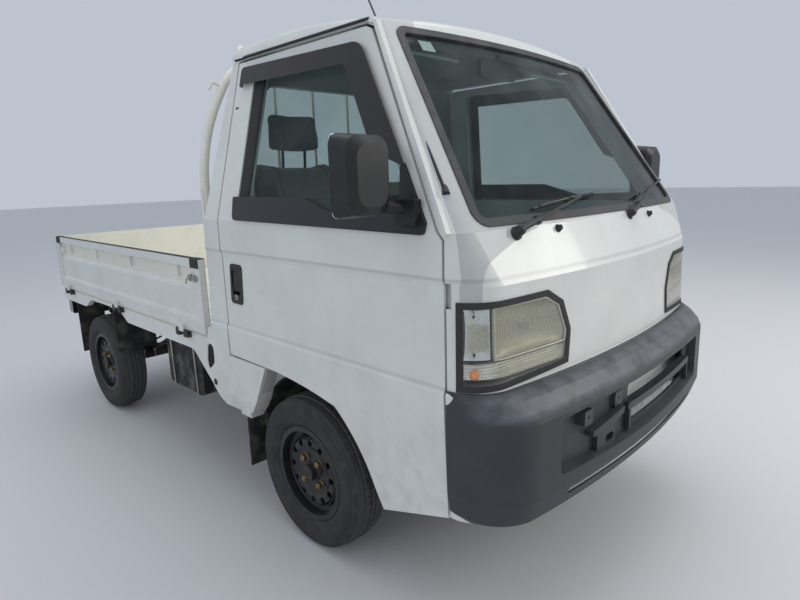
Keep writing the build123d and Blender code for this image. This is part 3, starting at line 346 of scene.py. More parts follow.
def turned(name, profile, centre, axis, steps):
    """A turned piece: rows of distance along the axis and radius, spun round it."""
    axis = Vector(axis).normalized()
    out = axis.orthogonal().normalized()
    points = [Vector(centre) + axis * a + out * r for a, r in profile]
    piece = raw(name, points, edges=[(i, i + 1) for i in range(len(points) - 1)])
    edit(piece, "VERT")
    bpy.ops.mesh.select_all(action="SELECT")
    bpy.ops.mesh.spin(steps=steps, angle=2 * math.pi, center=tuple(centre), axis=tuple(axis))
    return done(piece, outward=True, doubles=0.00001)


def join(name, pieces):
    """Several pieces as one mesh."""
    only(pieces[0])
    for piece in pieces:
        piece.select_set(True)
    if len(pieces) > 1:
        bpy.ops.object.join()
    return named(name)


def other_side(piece, name, body):
    """The piece's image on the truck's other side, with its own mesh, body and slot."""
    twin = piece.copy()
    twin.data = piece.data.copy()
    twin.name = name
    twin.data.name = name
    bpy.context.scene.collection.objects.link(twin)
    twin.data.transform(Matrix.Scale(-1, 4, (1, 0, 0)))
    # mirroring turns the faces inside out
    twin.data.flip_normals()
    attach(twin, body)
    return twin


def dress(piece, body, material, angle=35):
    """Gives a finished piece its smoothing, material, body and slot."""
    settle(piece)
    bpy.ops.object.shade_smooth_by_angle(angle=math.radians(angle))
    piece.data.materials.clear()
    piece.data.materials.append(material)
    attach(piece, body)
    return piece


def paint(material, *nodes):
    """Puts a material on CAD nodes."""
    for name in nodes:
        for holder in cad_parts[name].material_slots:
            holder.material = material


def on_skin(node, x, z):
    """The point of a CAD node's front at x and z in metres, and that place's outward normal."""
    hit, place, normal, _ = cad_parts[node].ray_cast(Vector((x, -3, z)), Vector((0, 1, 0)))
    if not hit:
        raise RuntimeError(f"nothing of {node} lies at x {x:.3f}, z {z:.3f}")
    return place, normal


# Finishes. Every one is kept under its own name, and look() finds it.


def look(name):
    """A finish by its name."""
    return bpy.data.materials[name]


def body_paint(name, colour, bed=None, inside=None):
    """Body paint: fine orange peel, faint mottling, road film low down, streaks and scattered chips.
    The bed's colour, where given, shows inside the gates as painted sunlight, a lighter and warmer copy of
    the white paint, and the lining's colour shows inside the cab."""
    f = Finish(name, coat_roughness=0.08)
    mottle = f.noise(6.0, 4.0)
    film = f.between(f.z, 0.95, 0.25) * f.between(f.noise(18.0, 5.0), 0.35, 0.75)
    streak = f.between(f.noise(10.0, 4.0, stretch=(9, 9, 0.7)), 0.54, 0.8)
    chip = f.between(f.cells(46.0), 0.055, 0.035) * f.between(f.noise(9.0), 0.56, 0.62)
    rough = 0.24 + mottle * 0.1 + film * 0.25
    base = colour
    if bed:
        scuff = f.between(f.noise(22.0, 5.0, stretch=(1, 1, 6)), 0.52, 0.74)
        # inside the gates the bed's colour is painted sunlight, a lighter and warmer copy of the white paint
        inner = (abs(f.x) < 0.6825) * (f.y < front_axle + 2.384) * (f.z > 0.6)
        base = f.mix(inner, base, bed)
        base = f.mix(scuff * 0.14, base, ROAD_FILM)
        rough = rough + scuff * 0.2 + 0.08
    if inside:
        # above the belt the cab's sides lean in and its front leans back
        above = f.between(f.z, 1.1, 1.13) * (f.z - 1.118)
        lined = (abs(f.x) < 0.676 - above * 0.2) * (f.z > 0.5) * (f.z < 1.712)
        lined = lined * (f.y - front_axle + 0.741 - above * 0.706 > 0.02)
        lined = lined * (f.y < front_axle + 0.531 - abs(f.z - 1.118) * 0.2)
        base = f.mix(lined, base, inside)
        rough = rough + lined * 0.4
    if not bed:
        # painted shade darkens the two pressed lines along the sides, and the upper one across the front
        upper = f.between(abs(f.z - 1.008), 0.008, 0.001)
        lower = f.between(abs(f.z - 0.735), 0.008, 0.001) * (abs(f.x) > 0.66)
        base = f.mix((upper + lower) * 0.3, base, (0.22, 0.23, 0.23))
    base = f.mix(f.between(mottle, 0.35, 0.7) * 0.07, base, (0.0, 0.0, 0.0))
    base = f.mix(film * 0.3 + streak * 0.07, base, ROAD_FILM)
    base = f.mix(chip * 0.8, base, (0.25, 0.2, 0.16))
    f.set(base_color=base, roughness=rough, coat_weight=0.5 - film * 0.4)
    f.bump(f.noise(420.0, 1.0) * 0.4 + chip * -1.0, 0.05, 0.0004)


def deck_paint(name, colour, bed):
    """The deck's paint, scratched along the truck, stained, and chipped to primer."""
    f = Finish(name)
    drag = f.between(f.noise(30.0, 6.0, stretch=(14, 0.6, 1)), 0.5, 0.72)
    stain = f.between(f.noise(3.5, 5.0), 0.5, 0.75)
    chip = f.between(f.cells(30.0), 0.07, 0.045) * f.between(f.noise(5.0), 0.5, 0.58)
    # the deck's top takes the bed's colour, painted sunlight: a lighter and warmer copy of the white paint
    inner = (f.z > 0.64) * (abs(f.x) < 0.688)
    base = f.mix(inner, colour, bed)
    base = f.mix(drag * 0.25, base, (0.56, 0.53, 0.47))
    base = f.mix(stain * 0.22, base, ROAD_FILM)
    base = f.mix(chip * 0.85, base, (0.34, 0.2, 0.12))
    f.set(base_color=base, roughness=0.42 + drag * 0.2)
    f.bump(f.noise(240.0, 2.0) * 0.4 + chip * -1.0, 0.08, 0.0004)


def moulded(name, colour, rough, grain, depth):
    """Textured plastic."""
    f = Finish(name, specular_ior_level=0.4)
    cloud = f.noise(11.0, 4.0)
    f.set(base_color=f.mix(f.between(cloud, 0.35, 0.7), colour, tuple(c * 0.8 for c in colour)),
          roughness=rough - f.between(cloud, 0.3, 0.8) * 0.1)
    f.bump(f.noise(grain, 2.0) * 0.6 + f.cells(grain * 0.7) * 0.6, depth, 0.0004)


def bumper_plastic(name, colour, lighter_tone):
    """The bumper's grained plastic: its ledge is lighter in patches, its face smeared with that lighter tone,
    its foot dusty.
    """
    f = Finish(name, specular_ior_level=0.45)
    cloud = f.noise(11.0, 4.0)
    # the upward-sloping ledge takes the lighter tone in patches
    ledge = f.between(f.z, 0.668, 0.69) * f.between(f.z, 0.742, 0.722)
    ledge = ledge * f.between(f.noise(14.0, 5.0), 0.2, 0.62)
    ledge = ledge * f.between(f.y, front_axle - 0.69, front_axle - 0.78)
    smear = f.between(f.noise(9.0, 5.0, stretch=(1, 1, 3)), 0.5, 0.8)
    low_dust = f.between(f.z, 0.42, 0.26) * f.between(f.noise(20.0, 5.0), 0.3, 0.7)
    base = f.mix(f.between(cloud, 0.35, 0.7), colour, tuple(c * 0.8 for c in colour))
    base = f.mix(ledge * 0.75, base, lighter_tone)
    base = f.mix(smear * 0.1, base, lighter_tone)
    base = f.mix(low_dust * 0.35, base, ROAD_FILM)
    f.set(base_color=base, roughness=0.5 - f.between(cloud, 0.3, 0.8) * 0.1 + low_dust * 0.2)
    f.bump(f.noise(700.0, 2.0) * 0.6 + f.cells(500.0) * 0.6, 0.16, 0.0004)


def rubber(name, colour, rough, dust):
    """Rubber with a bloom of dust."""
    f = Finish(name, specular_ior_level=0.35)
    bloom = f.between(f.noise(14.0, 6.0), 0.42, 0.78)
    f.set(base_color=f.mix(bloom * dust, colour, ROAD_FILM), roughness=rough + bloom * 0.15)
    f.bump(f.noise(260.0, 4.0), 0.12, 0.0005)


def tyre_rubber(name, centre, colour):
    """A tyre's rubber about its own axle: scuffed walls with fine rings, and a dusty tread."""
    f = Finish(name, specular_ior_level=0.32)
    dy = f.y - centre
    dz = f.z - hub_height
    radius = (dy * dy + dz * dz) ** 0.5
    tread = f.between(radius, 0.256, 0.263)
    dust = f.between(f.noise(26.0, 6.0), 0.38, 0.75)
    ring = f.between(f.noise(60.0, 3.0), 0.3, 0.8)
    wall = f.mix(dust * 0.4, colour, (0.11, 0.1, 0.088))
    base = f.mix(tread * (0.35 + ring * 0.3), wall, (0.13, 0.125, 0.12))
    f.set(base_color=base, roughness=0.62 + dust * 0.2)
    f.bump((radius * 2600.0).joined("SINE", radius * 2600.0) * 0.15 + f.noise(320.0, 3.0), 0.12, 0.0005)


def metal(name, colour, rough, rust, metallic, grain):
    """Bare, plated or painted metal, with rust coming through by a share."""
    f = Finish(name)
    tone = f.between(f.noise(8.0, 4.0), 0.3, 0.7)
    base = f.mix(tone, colour, tuple(c * 0.72 for c in colour))
    spotting = 0.0
    if rust:
        spotting = f.between(f.noise(grain, 6.0, 0.65), 0.62 - rust * 0.22, 0.78 - rust * 0.16)
        brown = f.mix(f.noise(90.0, 4.0), (0.19, 0.075, 0.03), (0.34, 0.16, 0.07))
        base = f.mix(spotting, base, brown)
    f.set(base_color=base, metallic=metallic * (1.0 - spotting),
          roughness=rough + tone * 0.1 + spotting * 0.35)
    f.bump(f.noise(180.0, 4.0) * 0.6 + spotting * 0.5, 0.15, 0.0005)


def glazing(name, tint, gloss, haze, colour, rough):
    """Glass: clear through a tint, glossier where it turns away, with wiped dust."""
    f = Finish(name, ior=1.5)
    dust = f.between(f.noise(7.0, 6.0), 0.35, 0.8)
    turn = f.facing(0.5)
    f.set(base_color=f.mix(dust, colour, tuple(c + 0.08 for c in colour)), roughness=rough + dust * 0.03)
    f.see_through(tint, gloss + turn * turn * 0.55 + dust * haze)


def lens(name, colour, ribs, across, depth, rough):
    """A moulded lens, ribbed on its inside."""
    f = Finish(name, ior=1.49, specular_ior_level=0.6)
    rib = f.waves(ribs, across)
    cloud = f.between(f.noise(16.0, 5.0), 0.3, 0.75)
    pale = tuple(min(1.0, c * 1.25 + 0.03) for c in colour)
    f.set(base_color=f.mix(rib * 0.5 + cloud * 0.3, colour, pale), roughness=rough + cloud * 0.08,
          coat_weight=1.0)
    f.bump(rib, depth, 0.0015)


def reflector(name, colour, rough, ribs, depth):
    """An aluminised bowl, seen through fluting: its colour is darker in stripes along the ribs, painted
    streaks of the light that the lens's flutes bend.
    """
    f = Finish(name)
    rib = f.waves(ribs, "X")
    cloud = f.between(f.noise(20.0, 5.0), 0.3, 0.75)
    # the darker stripes along the ribs are painted streaks of refracted light
    f.set(base_color=f.mix(cloud * 0.5 + rib * 0.2, colour, tuple(c * 0.72 for c in colour)), metallic=0.85,
          roughness=rough + cloud * 0.12)
    f.bump(rib * 0.8 + f.noise(60.0, 2.0) * 0.4, depth, 0.002)


def cloth(name, colour, thread, rib):
    """Woven seat cloth with ribs across it."""
    f = Finish(name, sheen_weight=0.35, sheen_roughness=0.5)
    weave = f.waves(thread, "X") * f.waves(thread, "Z")
    ridge = f.waves(rib, "Z")
    cloud = f.between(f.noise(9.0, 4.0), 0.3, 0.75)
    base = f.mix(ridge * 0.45 + weave * 0.25, tuple(c * 0.72 for c in colour), colour)
    base = f.mix(cloud * 0.25, base, tuple(c * 1.25 for c in colour))
    f.set(base_color=base, roughness=0.9)
    f.bump(ridge * 0.9 + weave * 0.35 + f.noise(500.0, 2.0) * 0.2, 0.5, 0.0012)


def two_tone(name, first, second, low, high, scale, rough, metallic):
    """One colour passing to another in patches: stickers, dials, mirror glass."""
    f = Finish(name)
    patch = f.between(f.noise(scale, 5.0), low, high)
    f.set(base_color=f.mix(patch, first, second), roughness=rough + patch * 0.05, metallic=metallic)
    f.bump(f.noise(300.0), 0.03, 0.0003)


def tail_lens(name):
    """The rear lamp's ribbed lens: white inside, red in the middle, amber outside."""
    f = Finish(name, ior=1.49, specular_ior_level=0.6)
    rib = f.waves(60.0, "Z")
    out = abs(f.x)
    base = f.mix(out > 0.57, (0.6, 0.6, 0.58), (0.42, 0.012, 0.01))
    base = f.mix(out > 0.626, base, (0.72, 0.2, 0.015))
    base = f.mix(rib * 0.25, base, (0.9, 0.85, 0.8))
    # only the rear face is lens; the housing behind it is black
    base = f.mix(f.y < front_axle + 2.386, base, (0.012, 0.012, 0.013))
    f.set(base_color=base, roughness=0.12 + rib * 0.06, coat_weight=1.0)
    f.bump(rib, 0.4, 0.0015)


MOULDINGS = (
    # name, colour's name, roughness, grain, depth
    ("trim_plastic", "trim", 0.42, 900.0, 0.08),
    ("dash_plastic", "dashboard", 0.62, 520.0, 0.2),
    ("pale_plastic", "headlining", 0.6, 700.0, 0.12),
)
RUBBERS = (
    # name, colour's name, roughness, dust
    ("black_rubber", "rubber", 0.55, 0.16),
    ("screen_rubber", "seal", 0.5, 0.22),
    ("flap_rubber", "rubber", 0.62, 0.35),
    ("underseal", "rubber", 0.78, 0.5),
)
METALS = (
    # name, colour, roughness, rust, metallic, grain
    ("frame_black", (0.028, 0.028, 0.029), 0.5, 0.32, 0.0, 30.0),
    ("axle_black", (0.035, 0.034, 0.033), 0.55, 0.5, 0.0, 40.0),
    ("rim_black", (0.02, 0.021, 0.023), 0.3, 0.12, 0.0, 60.0),
    ("brass_nut", (0.42, 0.3, 0.14), 0.4, 0.45, 1.0, 180.0),
    ("zinc_plate", (0.55, 0.54, 0.5), 0.35, 0.12, 1.0, 60.0),
    ("bright_metal", (0.75, 0.75, 0.75), 0.12, 0.0, 1.0, 24.0),
    ("cast_metal", (0.22, 0.215, 0.21), 0.6, 0.3, 0.6, 20.0),
    ("exhaust_steel", (0.4, 0.37, 0.33), 0.45, 0.55, 1.0, 16.0),
    ("wiper_black", (0.02, 0.02, 0.021), 0.4, 0.0, 0.0, 24.0),
    ("deep_black", (0.008, 0.008, 0.009), 0.75, 0.0, 0.0, 24.0),
    ("smoked_plastic", (0.02, 0.018, 0.017), 0.12, 0.0, 0.0, 24.0),
)
GLAZING = (
    # name, tint, gloss, haze, colour, roughness
    ("windscreen_glass", (0.84, 0.91, 0.90), 0.08, 0.06, (0.02, 0.024, 0.022), 0.03),
    ("side_glass", (0.91, 0.95, 0.94), 0.05, 0.03, (0.02, 0.024, 0.022), 0.03),
    ("clear_lens", (0.96, 0.97, 0.96), 0.07, 0.06, (0.5, 0.5, 0.48), 0.06),
    ("fluted_glass", (0.99, 0.98, 0.93), 0.14, 0.05, (0.62, 0.61, 0.54), 0.12),
)
LENSES = (
    # name, colour, ribs, across, depth, roughness
    ("amber_bulb", (0.8, 0.25, 0.08), 120.0, "X", 0.1, 0.2),
    ("yellow_rim", (0.5, 0.47, 0.36), 40.0, "Z", 0.1, 0.25),
)
REFLECTORS = (
    # name, colour, roughness, ribs, depth
    ("lamp_bowl", (0.95, 0.92, 0.8), 0.28, 55.0, 0.7),
    ("lamp_bowl_clear", (0.86, 0.86, 0.83), 0.22, 30.0, 0.3),
    ("lamp_strip_back", (0.85, 0.84, 0.78), 0.3, 40.0, 0.5),
)
TWO_TONES = (
    # name, first, second, low, high, scale, roughness, metallic
    ("sticker", (0.62, 0.72, 0.66), (0.7, 0.77, 0.72), 0.3, 0.7, 60.0, 0.45, 0.0),
    ("dial", (0.012, 0.012, 0.013), (0.03, 0.03, 0.032), 0.3, 0.7, 90.0, 0.4, 0.0),
    ("dial_mark", (0.75, 0.75, 0.72), (0.6, 0.6, 0.57), 0.3, 0.7, 90.0, 0.5, 0.0),
    ("mirror_glass", (0.82, 0.84, 0.85), (0.7, 0.72, 0.73), 0.4, 0.8, 30.0, 0.02, 1.0),
)
ROAD_FILM = (0.33, 0.29, 0.23)

# what each CAD node is finished in
NODE_LOOKS = {
    "white_paint": ("cab_shell",),
    "door_paint": ("door_panel_right", "door_panel_left"),
    "gate_paint": ("gate_right", "gate_left", "tailgate", "headboard"),
    "deck_paint": ("bed",),
    "bumper_plastic": ("front_bumper",),
    "trim_plastic": ("door_trim_right", "door_trim_left", "cab_mirror", "steering_wheel",
                     "steering_column"),
    "smoked_plastic": ("door_visor_right", "door_visor_left"),
    "dash_plastic": ("dashboard", "seat_right", "seat_left"),
    "screen_rubber": ("windscreen_seal",),
    "black_rubber": ("lamp_bezels",),
    "flap_rubber": ("mud_flaps",),
    "wiper_black": ("wipers", "antenna"),
    "underseal": ("cab_floor", "fuel_tank", "battery_box"),
    "frame_black": ("chassis_frame", "gate_hinges", "rear_bar"),
    "axle_black": ("rear_axle", "leaf_springs", "front_arms", "knuckle_right", "knuckle_left",
                   "steering_rack", "prop_shaft"),
    "cast_metal": ("engine",),
    "exhaust_steel": ("exhaust",),
    "rim_black": tuple(f"rim_{name}" for name in WHEELS),
    "windscreen_glass": ("windscreen", "rear_window"),
    "side_glass": ("door_glass_right", "door_glass_left"),
    "clear_lens": ("headlamps",),
    "tail_lens": ("tail_lamps",),
}


class TruckColours(bpy.types.PropertyGroup):
    """Colours that can be changed before the truck is dressed."""

    paint: FloatVectorProperty(name="Paint", description="Body paint outside", subtype="COLOR",
                               default=(0.77, 0.78, 0.74), min=0, max=1)
    # the bed's colour is painted sunlight: the white paint made lighter and warmer for the faces inside the
    # bed
    sunlit_bed_paint: FloatVectorProperty(name="Bed paint", description="Paint inside the bed", subtype="COLOR",
                                   default=(0.83, 0.81, 0.71), min=0, max=1)
    headlining: FloatVectorProperty(name="Cab lining", description="Lining inside the cab", subtype="COLOR",
                                    default=(0.55, 0.56, 0.55), min=0, max=1)
    bumper: FloatVectorProperty(name="Bumper", description="Bumper's grained plastic", subtype="COLOR",
                                default=(0.045, 0.05, 0.055), min=0, max=1)
    # a lighter tone for the bumper's ledge and the smears on its face
    bumper_lighter_tone: FloatVectorProperty(name="Worn bumper", description="Bleached plastic of the bumper's ledge",
                                     subtype="COLOR", default=(0.16, 0.17, 0.19), min=0, max=1)
    trim: FloatVectorProperty(name="Trim", description="Black plastic of mirrors, strips and handles",
                              subtype="COLOR", default=(0.022, 0.023, 0.025), min=0, max=1)
    dashboard: FloatVectorProperty(name="Dashboard", description="Dashboard's plastic", subtype="COLOR",
                                   default=(0.11, 0.12, 0.125), min=0, max=1)
    rubber: FloatVectorProperty(name="Rubber", description="Bezels, flaps and the underside", subtype="COLOR",
                                default=(0.022, 0.022, 0.023), min=0, max=1)
    seal: FloatVectorProperty(name="Screen rubber", description="Windscreen's grey-black rubber",
                              subtype="COLOR", default=(0.05, 0.052, 0.056), min=0, max=1)
    tyre: FloatVectorProperty(name="Tyre", description="Tyres' walls", subtype="COLOR",
                              default=(0.03, 0.03, 0.031), min=0, max=1)
    seat: FloatVectorProperty(name="Seat cloth", description="Seats' ribbed cloth", subtype="COLOR",
                              default=(0.19, 0.20, 0.21), min=0, max=1)


class TruckSizes(bpy.types.PropertyGroup):
    """Sizes that can be changed before the truck is dressed."""

    groove_depth: FloatProperty(name="Groove depth", description="Depth of the tyres' grooves", default=0.006,
                                min=0.002, max=0.008, unit="LENGTH")
    sipe_depth: FloatProperty(name="Sipe depth", description="Depth of the cuts in the tyres' shoulders",
                              default=0.004, min=0.001, max=0.006, unit="LENGTH")
    tread_pitches: IntProperty(name="Tread pitches", description="Shoulder blocks round a tyre", default=64,
                               min=40, max=90)
    pad_pressure: FloatProperty(name="Pad pressure", description="How hard the seats are stuffed",
                                default=4.0, min=1.0, max=8.0)


class DressFinishes(bpy.types.Operator):
    """Make every finish and put them on the frame's own pieces"""

    bl_idname = "truck.finishes"
    bl_label = "Finishes"

    def execute(self, context):
        colours = context.scene.truck_colours
        white, bed = tuple(colours.paint), tuple(colours.sunlit_bed_paint)
        body_paint("white_paint", white, inside=tuple(colours.headlining))
        body_paint("door_paint", white)
        body_paint("gate_paint", white, bed=bed)
        deck_paint("deck_paint", white, bed)
        bumper_plastic("bumper_plastic", tuple(colours.bumper), tuple(colours.bumper_lighter_tone))
        for name, colour, *rest in MOULDINGS:
            moulded(name, tuple(getattr(colours, colour)), *rest)
        for name, colour, *rest in RUBBERS:
            rubber(name, tuple(getattr(colours, colour)), *rest)
        for name, (side, centre) in WHEELS.items():
            tyre_rubber(f"tyre_{name}", centre, tuple(colours.tyre))
        for maker, rows in ((metal, METALS), (glazing, GLAZING), (lens, LENSES), (reflector, REFLECTORS),
                            (two_tone, TWO_TONES)):
            for row in rows:
                maker(*row)
        cloth("seat_cloth", tuple(colours.seat), 420.0, 34.0)
        cloth("seat_side", tuple(c * 0.8 for c in colours.seat), 600.0, 300.0)
        cloth("belt_web", (0.03, 0.03, 0.032), 500.0, 260.0)
        tail_lens("tail_lens")
        for name, nodes in NODE_LOOKS.items():
            paint(look(name), *nodes)
        for name in WHEELS:
            paint(look(f"tyre_{name}"), f"tyre_{name}")
        return {"FINISHED"}


# Tyres and what is bolted to the wheels


def tyre(name, side, centre, sizes):
    """A tyre: its section spun round the axle, its ribs and shoulder blocks raised by insets."""
    low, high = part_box(f"tyre_{name}")
    half = (high.x - low.x) / 2
    radius = (high.z - low.z) / 2
    deep = radius - sizes.groove_depth
    sipe = radius - sizes.sipe_depth
    # radii of the rim's bead seat and flange, where the wall begins
    seat, flange = 0.1525, 0.1675
    wall = [
        (0.0557, seat), (0.0557, flange), (0.0607, flange + 0.003), (0.0655, 0.178), (0.0662, 0.1795),
        (0.0667, 0.1815), (half - 0.0040, 0.1895), (half - 0.0026, 0.1905), (half - 0.0026, 0.1925),
        (half - 0.0018, 0.1935), (half - 0.0003, 0.209), (half, 0.214), (half - 0.0003, 0.219),
        (half - 0.0022, 0.2325), (half - 0.0034, 0.2335), (half - 0.0038, 0.2355), (half - 0.0030, 0.2365),
        (half - 0.0050, 0.2445), (half - 0.0078, radius - 0.0165),
    ]
    crown = [
        (half - 0.0095, radius - 0.0125), (half - 0.0125, radius - 0.0092), (half - 0.0165, sipe - 0.0022),
        (0.0365, sipe - 0.0004), (0.0355, deep), (0.0300, deep), (0.0292, sipe + 0.0006),
        (0.0125, sipe + 0.0010), (0.0118, deep), (0.0072, deep), (0.0065, sipe + 0.0012),
    ]
    outer = wall + crown
    section = outer + [(-a, r) for a, r in reversed(outer)] + [outer[0]]
    piece = turned(f"tyre_skin_{name}", section, (side * track_half, centre, hub_height), (1, 0, 0),
                   sizes.tread_pitches)

    def across(place):
        return abs(abs(place.x) - track_half)

    def reach(place):
        return math.hypot(place.y - centre, place.z - hub_height)

    def blocks(inner, outer, thickness, depth):
        edit(piece)
        pick(piece, lambda place, normal: inner < across(place) < outer and reach(place) > deep + 0.0005)
        bpy.ops.mesh.inset(thickness=thickness, depth=depth, use_individual=True)
        done(piece)

    blocks(0.0368, half - 0.0150, 0.0022, sizes.sipe_depth - 0.0006)
    blocks(0.0128, 0.0290, 0.0011, sizes.sipe_depth - 0.0012)
    blocks(0.0, 0.0064, 0.0008, sizes.sipe_depth - 0.0014)
    return dress(piece, f"wheel_{name}", look(f"tyre_{name}"), angle=28)


class AddTyres(bpy.types.Operator):
    """Spin the four tyres, with grooves, ribs and shoulder blocks"""

    bl_idname = "truck.tyres"
    bl_label = "Tyres"

    def execute(self, context):
        for name, (side, centre) in WHEELS.items():
            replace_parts(tyre(name, side, centre, context.scene.truck_sizes), f"tyre_{name}")
        return {"FINISHED"}


def hex_nut(name, centre, axis, radius, low, high, turn=0.0):
    """A hexagon nut with a chamfered crown, a washer flange and a stud's end."""
    axis = Vector(axis).normalized()
    centre = Vector(centre)
    out = axis.orthogonal().normalized()
    spins = [Matrix.Rotation(turn + math.radians(60 * i), 3, axis) for i in range(6)]
    nut = plate(name, [centre + axis * low + spin @ out * radius for spin in spins], axis * (high - low))
    edit(nut)
    pick(nut, lambda place, normal: normal.dot(axis) > 0.9 and (place - centre).dot(axis) > high - 0.0005)
    bpy.ops.mesh.inset(thickness=radius * 0.18, depth=radius * 0.12)
    bpy.ops.mesh.inset(thickness=radius * 0.22, depth=0.0)
    bpy.ops.mesh.inset(thickness=radius * 0.02, depth=-radius * 0.3)
    done(nut)
    modify(nut, "BEVEL", width=radius * 0.05, segments=2, limit_method="ANGLE")
    washer = turned(name, [(low - 0.002, 0.0), (low - 0.002, radius * 1.3), (low + 0.0005, radius * 1.3),
                           (low + 0.003, radius * 1.02), (low + 0.003, 0.0)], centre, axis, 24)
    stud = turned(name, [(high - 0.002, 0.0), (high - 0.002, radius * 0.46), (high + 0.004, radius * 0.46),
                         (high + 0.0052, radius * 0.36), (high + 0.0052, 0.0)], centre, axis, 16)
    return join(name, [nut, washer, stud])


class AddWheelFittings(bpy.types.Operator):
    """Put the nuts, hub caps, valves and balance weights on the wheels"""

    bl_idname = "truck.wheel_fittings"
    bl_label = "Wheel fittings"

    def execute(self, context):
        # the disc's face outwards of the wheel's middle, the circle of its nuts, and the rim's flange
        face, nut_circle, flange = 0.035, 0.055, 0.1525
        for name, (side, centre) in WHEELS.items():
            axis = Vector((side, 0, 0))
            middle = Vector((side * track_half, centre, hub_height))
            body = f"wheel_{name}"
            nuts = []
            for i in range(4):
                turn = math.radians(45 + 90 * i)
                place = middle + Vector((0, math.cos(turn), math.sin(turn))) * nut_circle
                nuts.append(hex_nut("nut", place, axis, 0.0113, face - 0.001, face + 0.0165, turn))
            dress(join(f"wheel_nuts_{name}", nuts), body, look("brass_nut"), 30)

            ring = turned("ring", [(face + 0.0005, 0.0312), (face + 0.004, 0.0325), (face + 0.0065, 0.0312),
                                   (face + 0.0065, 0.029)], middle, axis, 40)
            crown = turned("crown", [(face + 0.0255, 0.0), (face + 0.0275, 0.004), (face + 0.0268, 0.0135),
                                     (face + 0.0262, 0.0205), (face + 0.0245, 0.0255)], middle, axis, 40)
            cap = join(f"hub_cap_{name}", [ring, crown])
            dress(cap, body, look("axle_black"), 30)

            # a bead of weld round the disc, the valve in its grommet and a balance weight on the rim
            bead = turned(f"disc_bead_{name}", [(0.0405, 0.1215), (0.0432, 0.1228), (0.0437, 0.1248),
                                                (0.0420, 0.1266), (0.0390, 0.1272)], middle, axis, 72)
            dress(bead, body, look("rim_black"), 40)
            turn = math.radians(68)
            out = Vector((0, math.cos(turn), math.sin(turn)))
            root = middle + out * 0.133 + axis * 0.022
            way = (out * -0.35 + axis).normalized()
            stem = turned("stem", [(-0.004, 0.0), (-0.004, 0.0062), (0.002, 0.0068), (0.006, 0.005),
                                   (0.018, 0.0036), (0.019, 0.0028), (0.0305, 0.0028), (0.031, 0.002),
                                   (0.031, 0.0)], root, way, 16)
            dress(stem, body, look("black_rubber"), 40).name = f"valve_{name}"
            weight = block("weight", (-0.012, -0.002, -0.003), (0.012, 0.002, 0.003), 0.0012)
            turn = math.radians(200 if "front" in name else 318)
            out = Vector((0, math.cos(turn), math.sin(turn)))
            basis = Matrix((out.cross(axis), axis, out)).transposed().to_4x4()
            basis.translation = middle + axis * 0.0535 + out * flange
            weight.data.transform(basis)
            dress(weight, body, look("zinc_plate"), 30).name = f"balance_weight_{name}"
        return {"FINISHED"}


# Lamps

# the driver's side lamp from the front, in millimetres: its side lens's edges, its main lens's outer edge,
# foot and head, the rows of its slanted inner edge as share of the height and across, and its rim
side_lens_outer, side_lens_inner = -675, -629
main_lens_outer = -621
main_foot, main_head = 817, 940
MAIN_LENS_EDGE = ((0.0, -364), (0.22, -357), (0.8, -391), (1.0, -440))
LAMP_RIM = ((-621, 815), (-621, 942), (-441, 942), (-389, 916), (-356, 843), (-362, 815))
lens_middle = (-520, 860)


def on_lens(x, z, depth):
    """A point behind the driver's side lens, from millimetres across and up, and metres of depth."""
    for pull in range(20):
        # a place beyond the lens's edge is pulled towards the lens's middle
        aim = Vector((x + (lens_middle[0] - x) * pull * 0.01, -3000, z + (lens_middle[1] - z) * pull * 0.01))
        hit, place, *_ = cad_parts["headlamps"].ray_cast(aim / 1000, Vector((0, 1, 0)))
        if hit:
            return Vector((place.x, place.y + depth, place.z))
    raise RuntimeError(f"the lens has no place near x {x}, z {z}")


def lens_sheet(name, low, high, left, right, depth, across=24, along=12):
    """A sheet behind the lens between two heights. Its left and right edges and its depth are functions."""
    points = []
    for j in range(along + 1):
        v = j / along
        for i in range(across + 1):
            u = i / across
            points.append(on_lens(left(v) + (right(v) - left(v)) * u, low + (high - low) * v, depth(u, v)))
    row = across + 1
    faces = [(j * row + i, j * row + i + 1, (j + 1) * row + i + 1, (j + 1) * row + i)
             for j in range(along) for i in range(across)]
    return raw(name, points, faces)


def dish(u, v, edge, middle):
    """Depth of a bowl: shallow at its edges, deep in the middle."""
    return edge + (middle - edge) * math.sqrt(max(0.0, 16 * u * (1 - u) * v * (1 - v)))


def ripple(share, count):
    """A wave that runs a number of times over a length."""
    return math.sin(share * 2 * math.pi * count)


def main_lens_edge(v):
    """The main lens's slanted inner edge, from its foot to its top."""
    for (a, xa), (b, xb) in zip(MAIN_LENS_EDGE, MAIN_LENS_EDGE[1:]):
        if v <= b:
            return xa + (xb - xa) * (v - a) / (b - a)
    return MAIN_LENS_EDGE[-1][1]


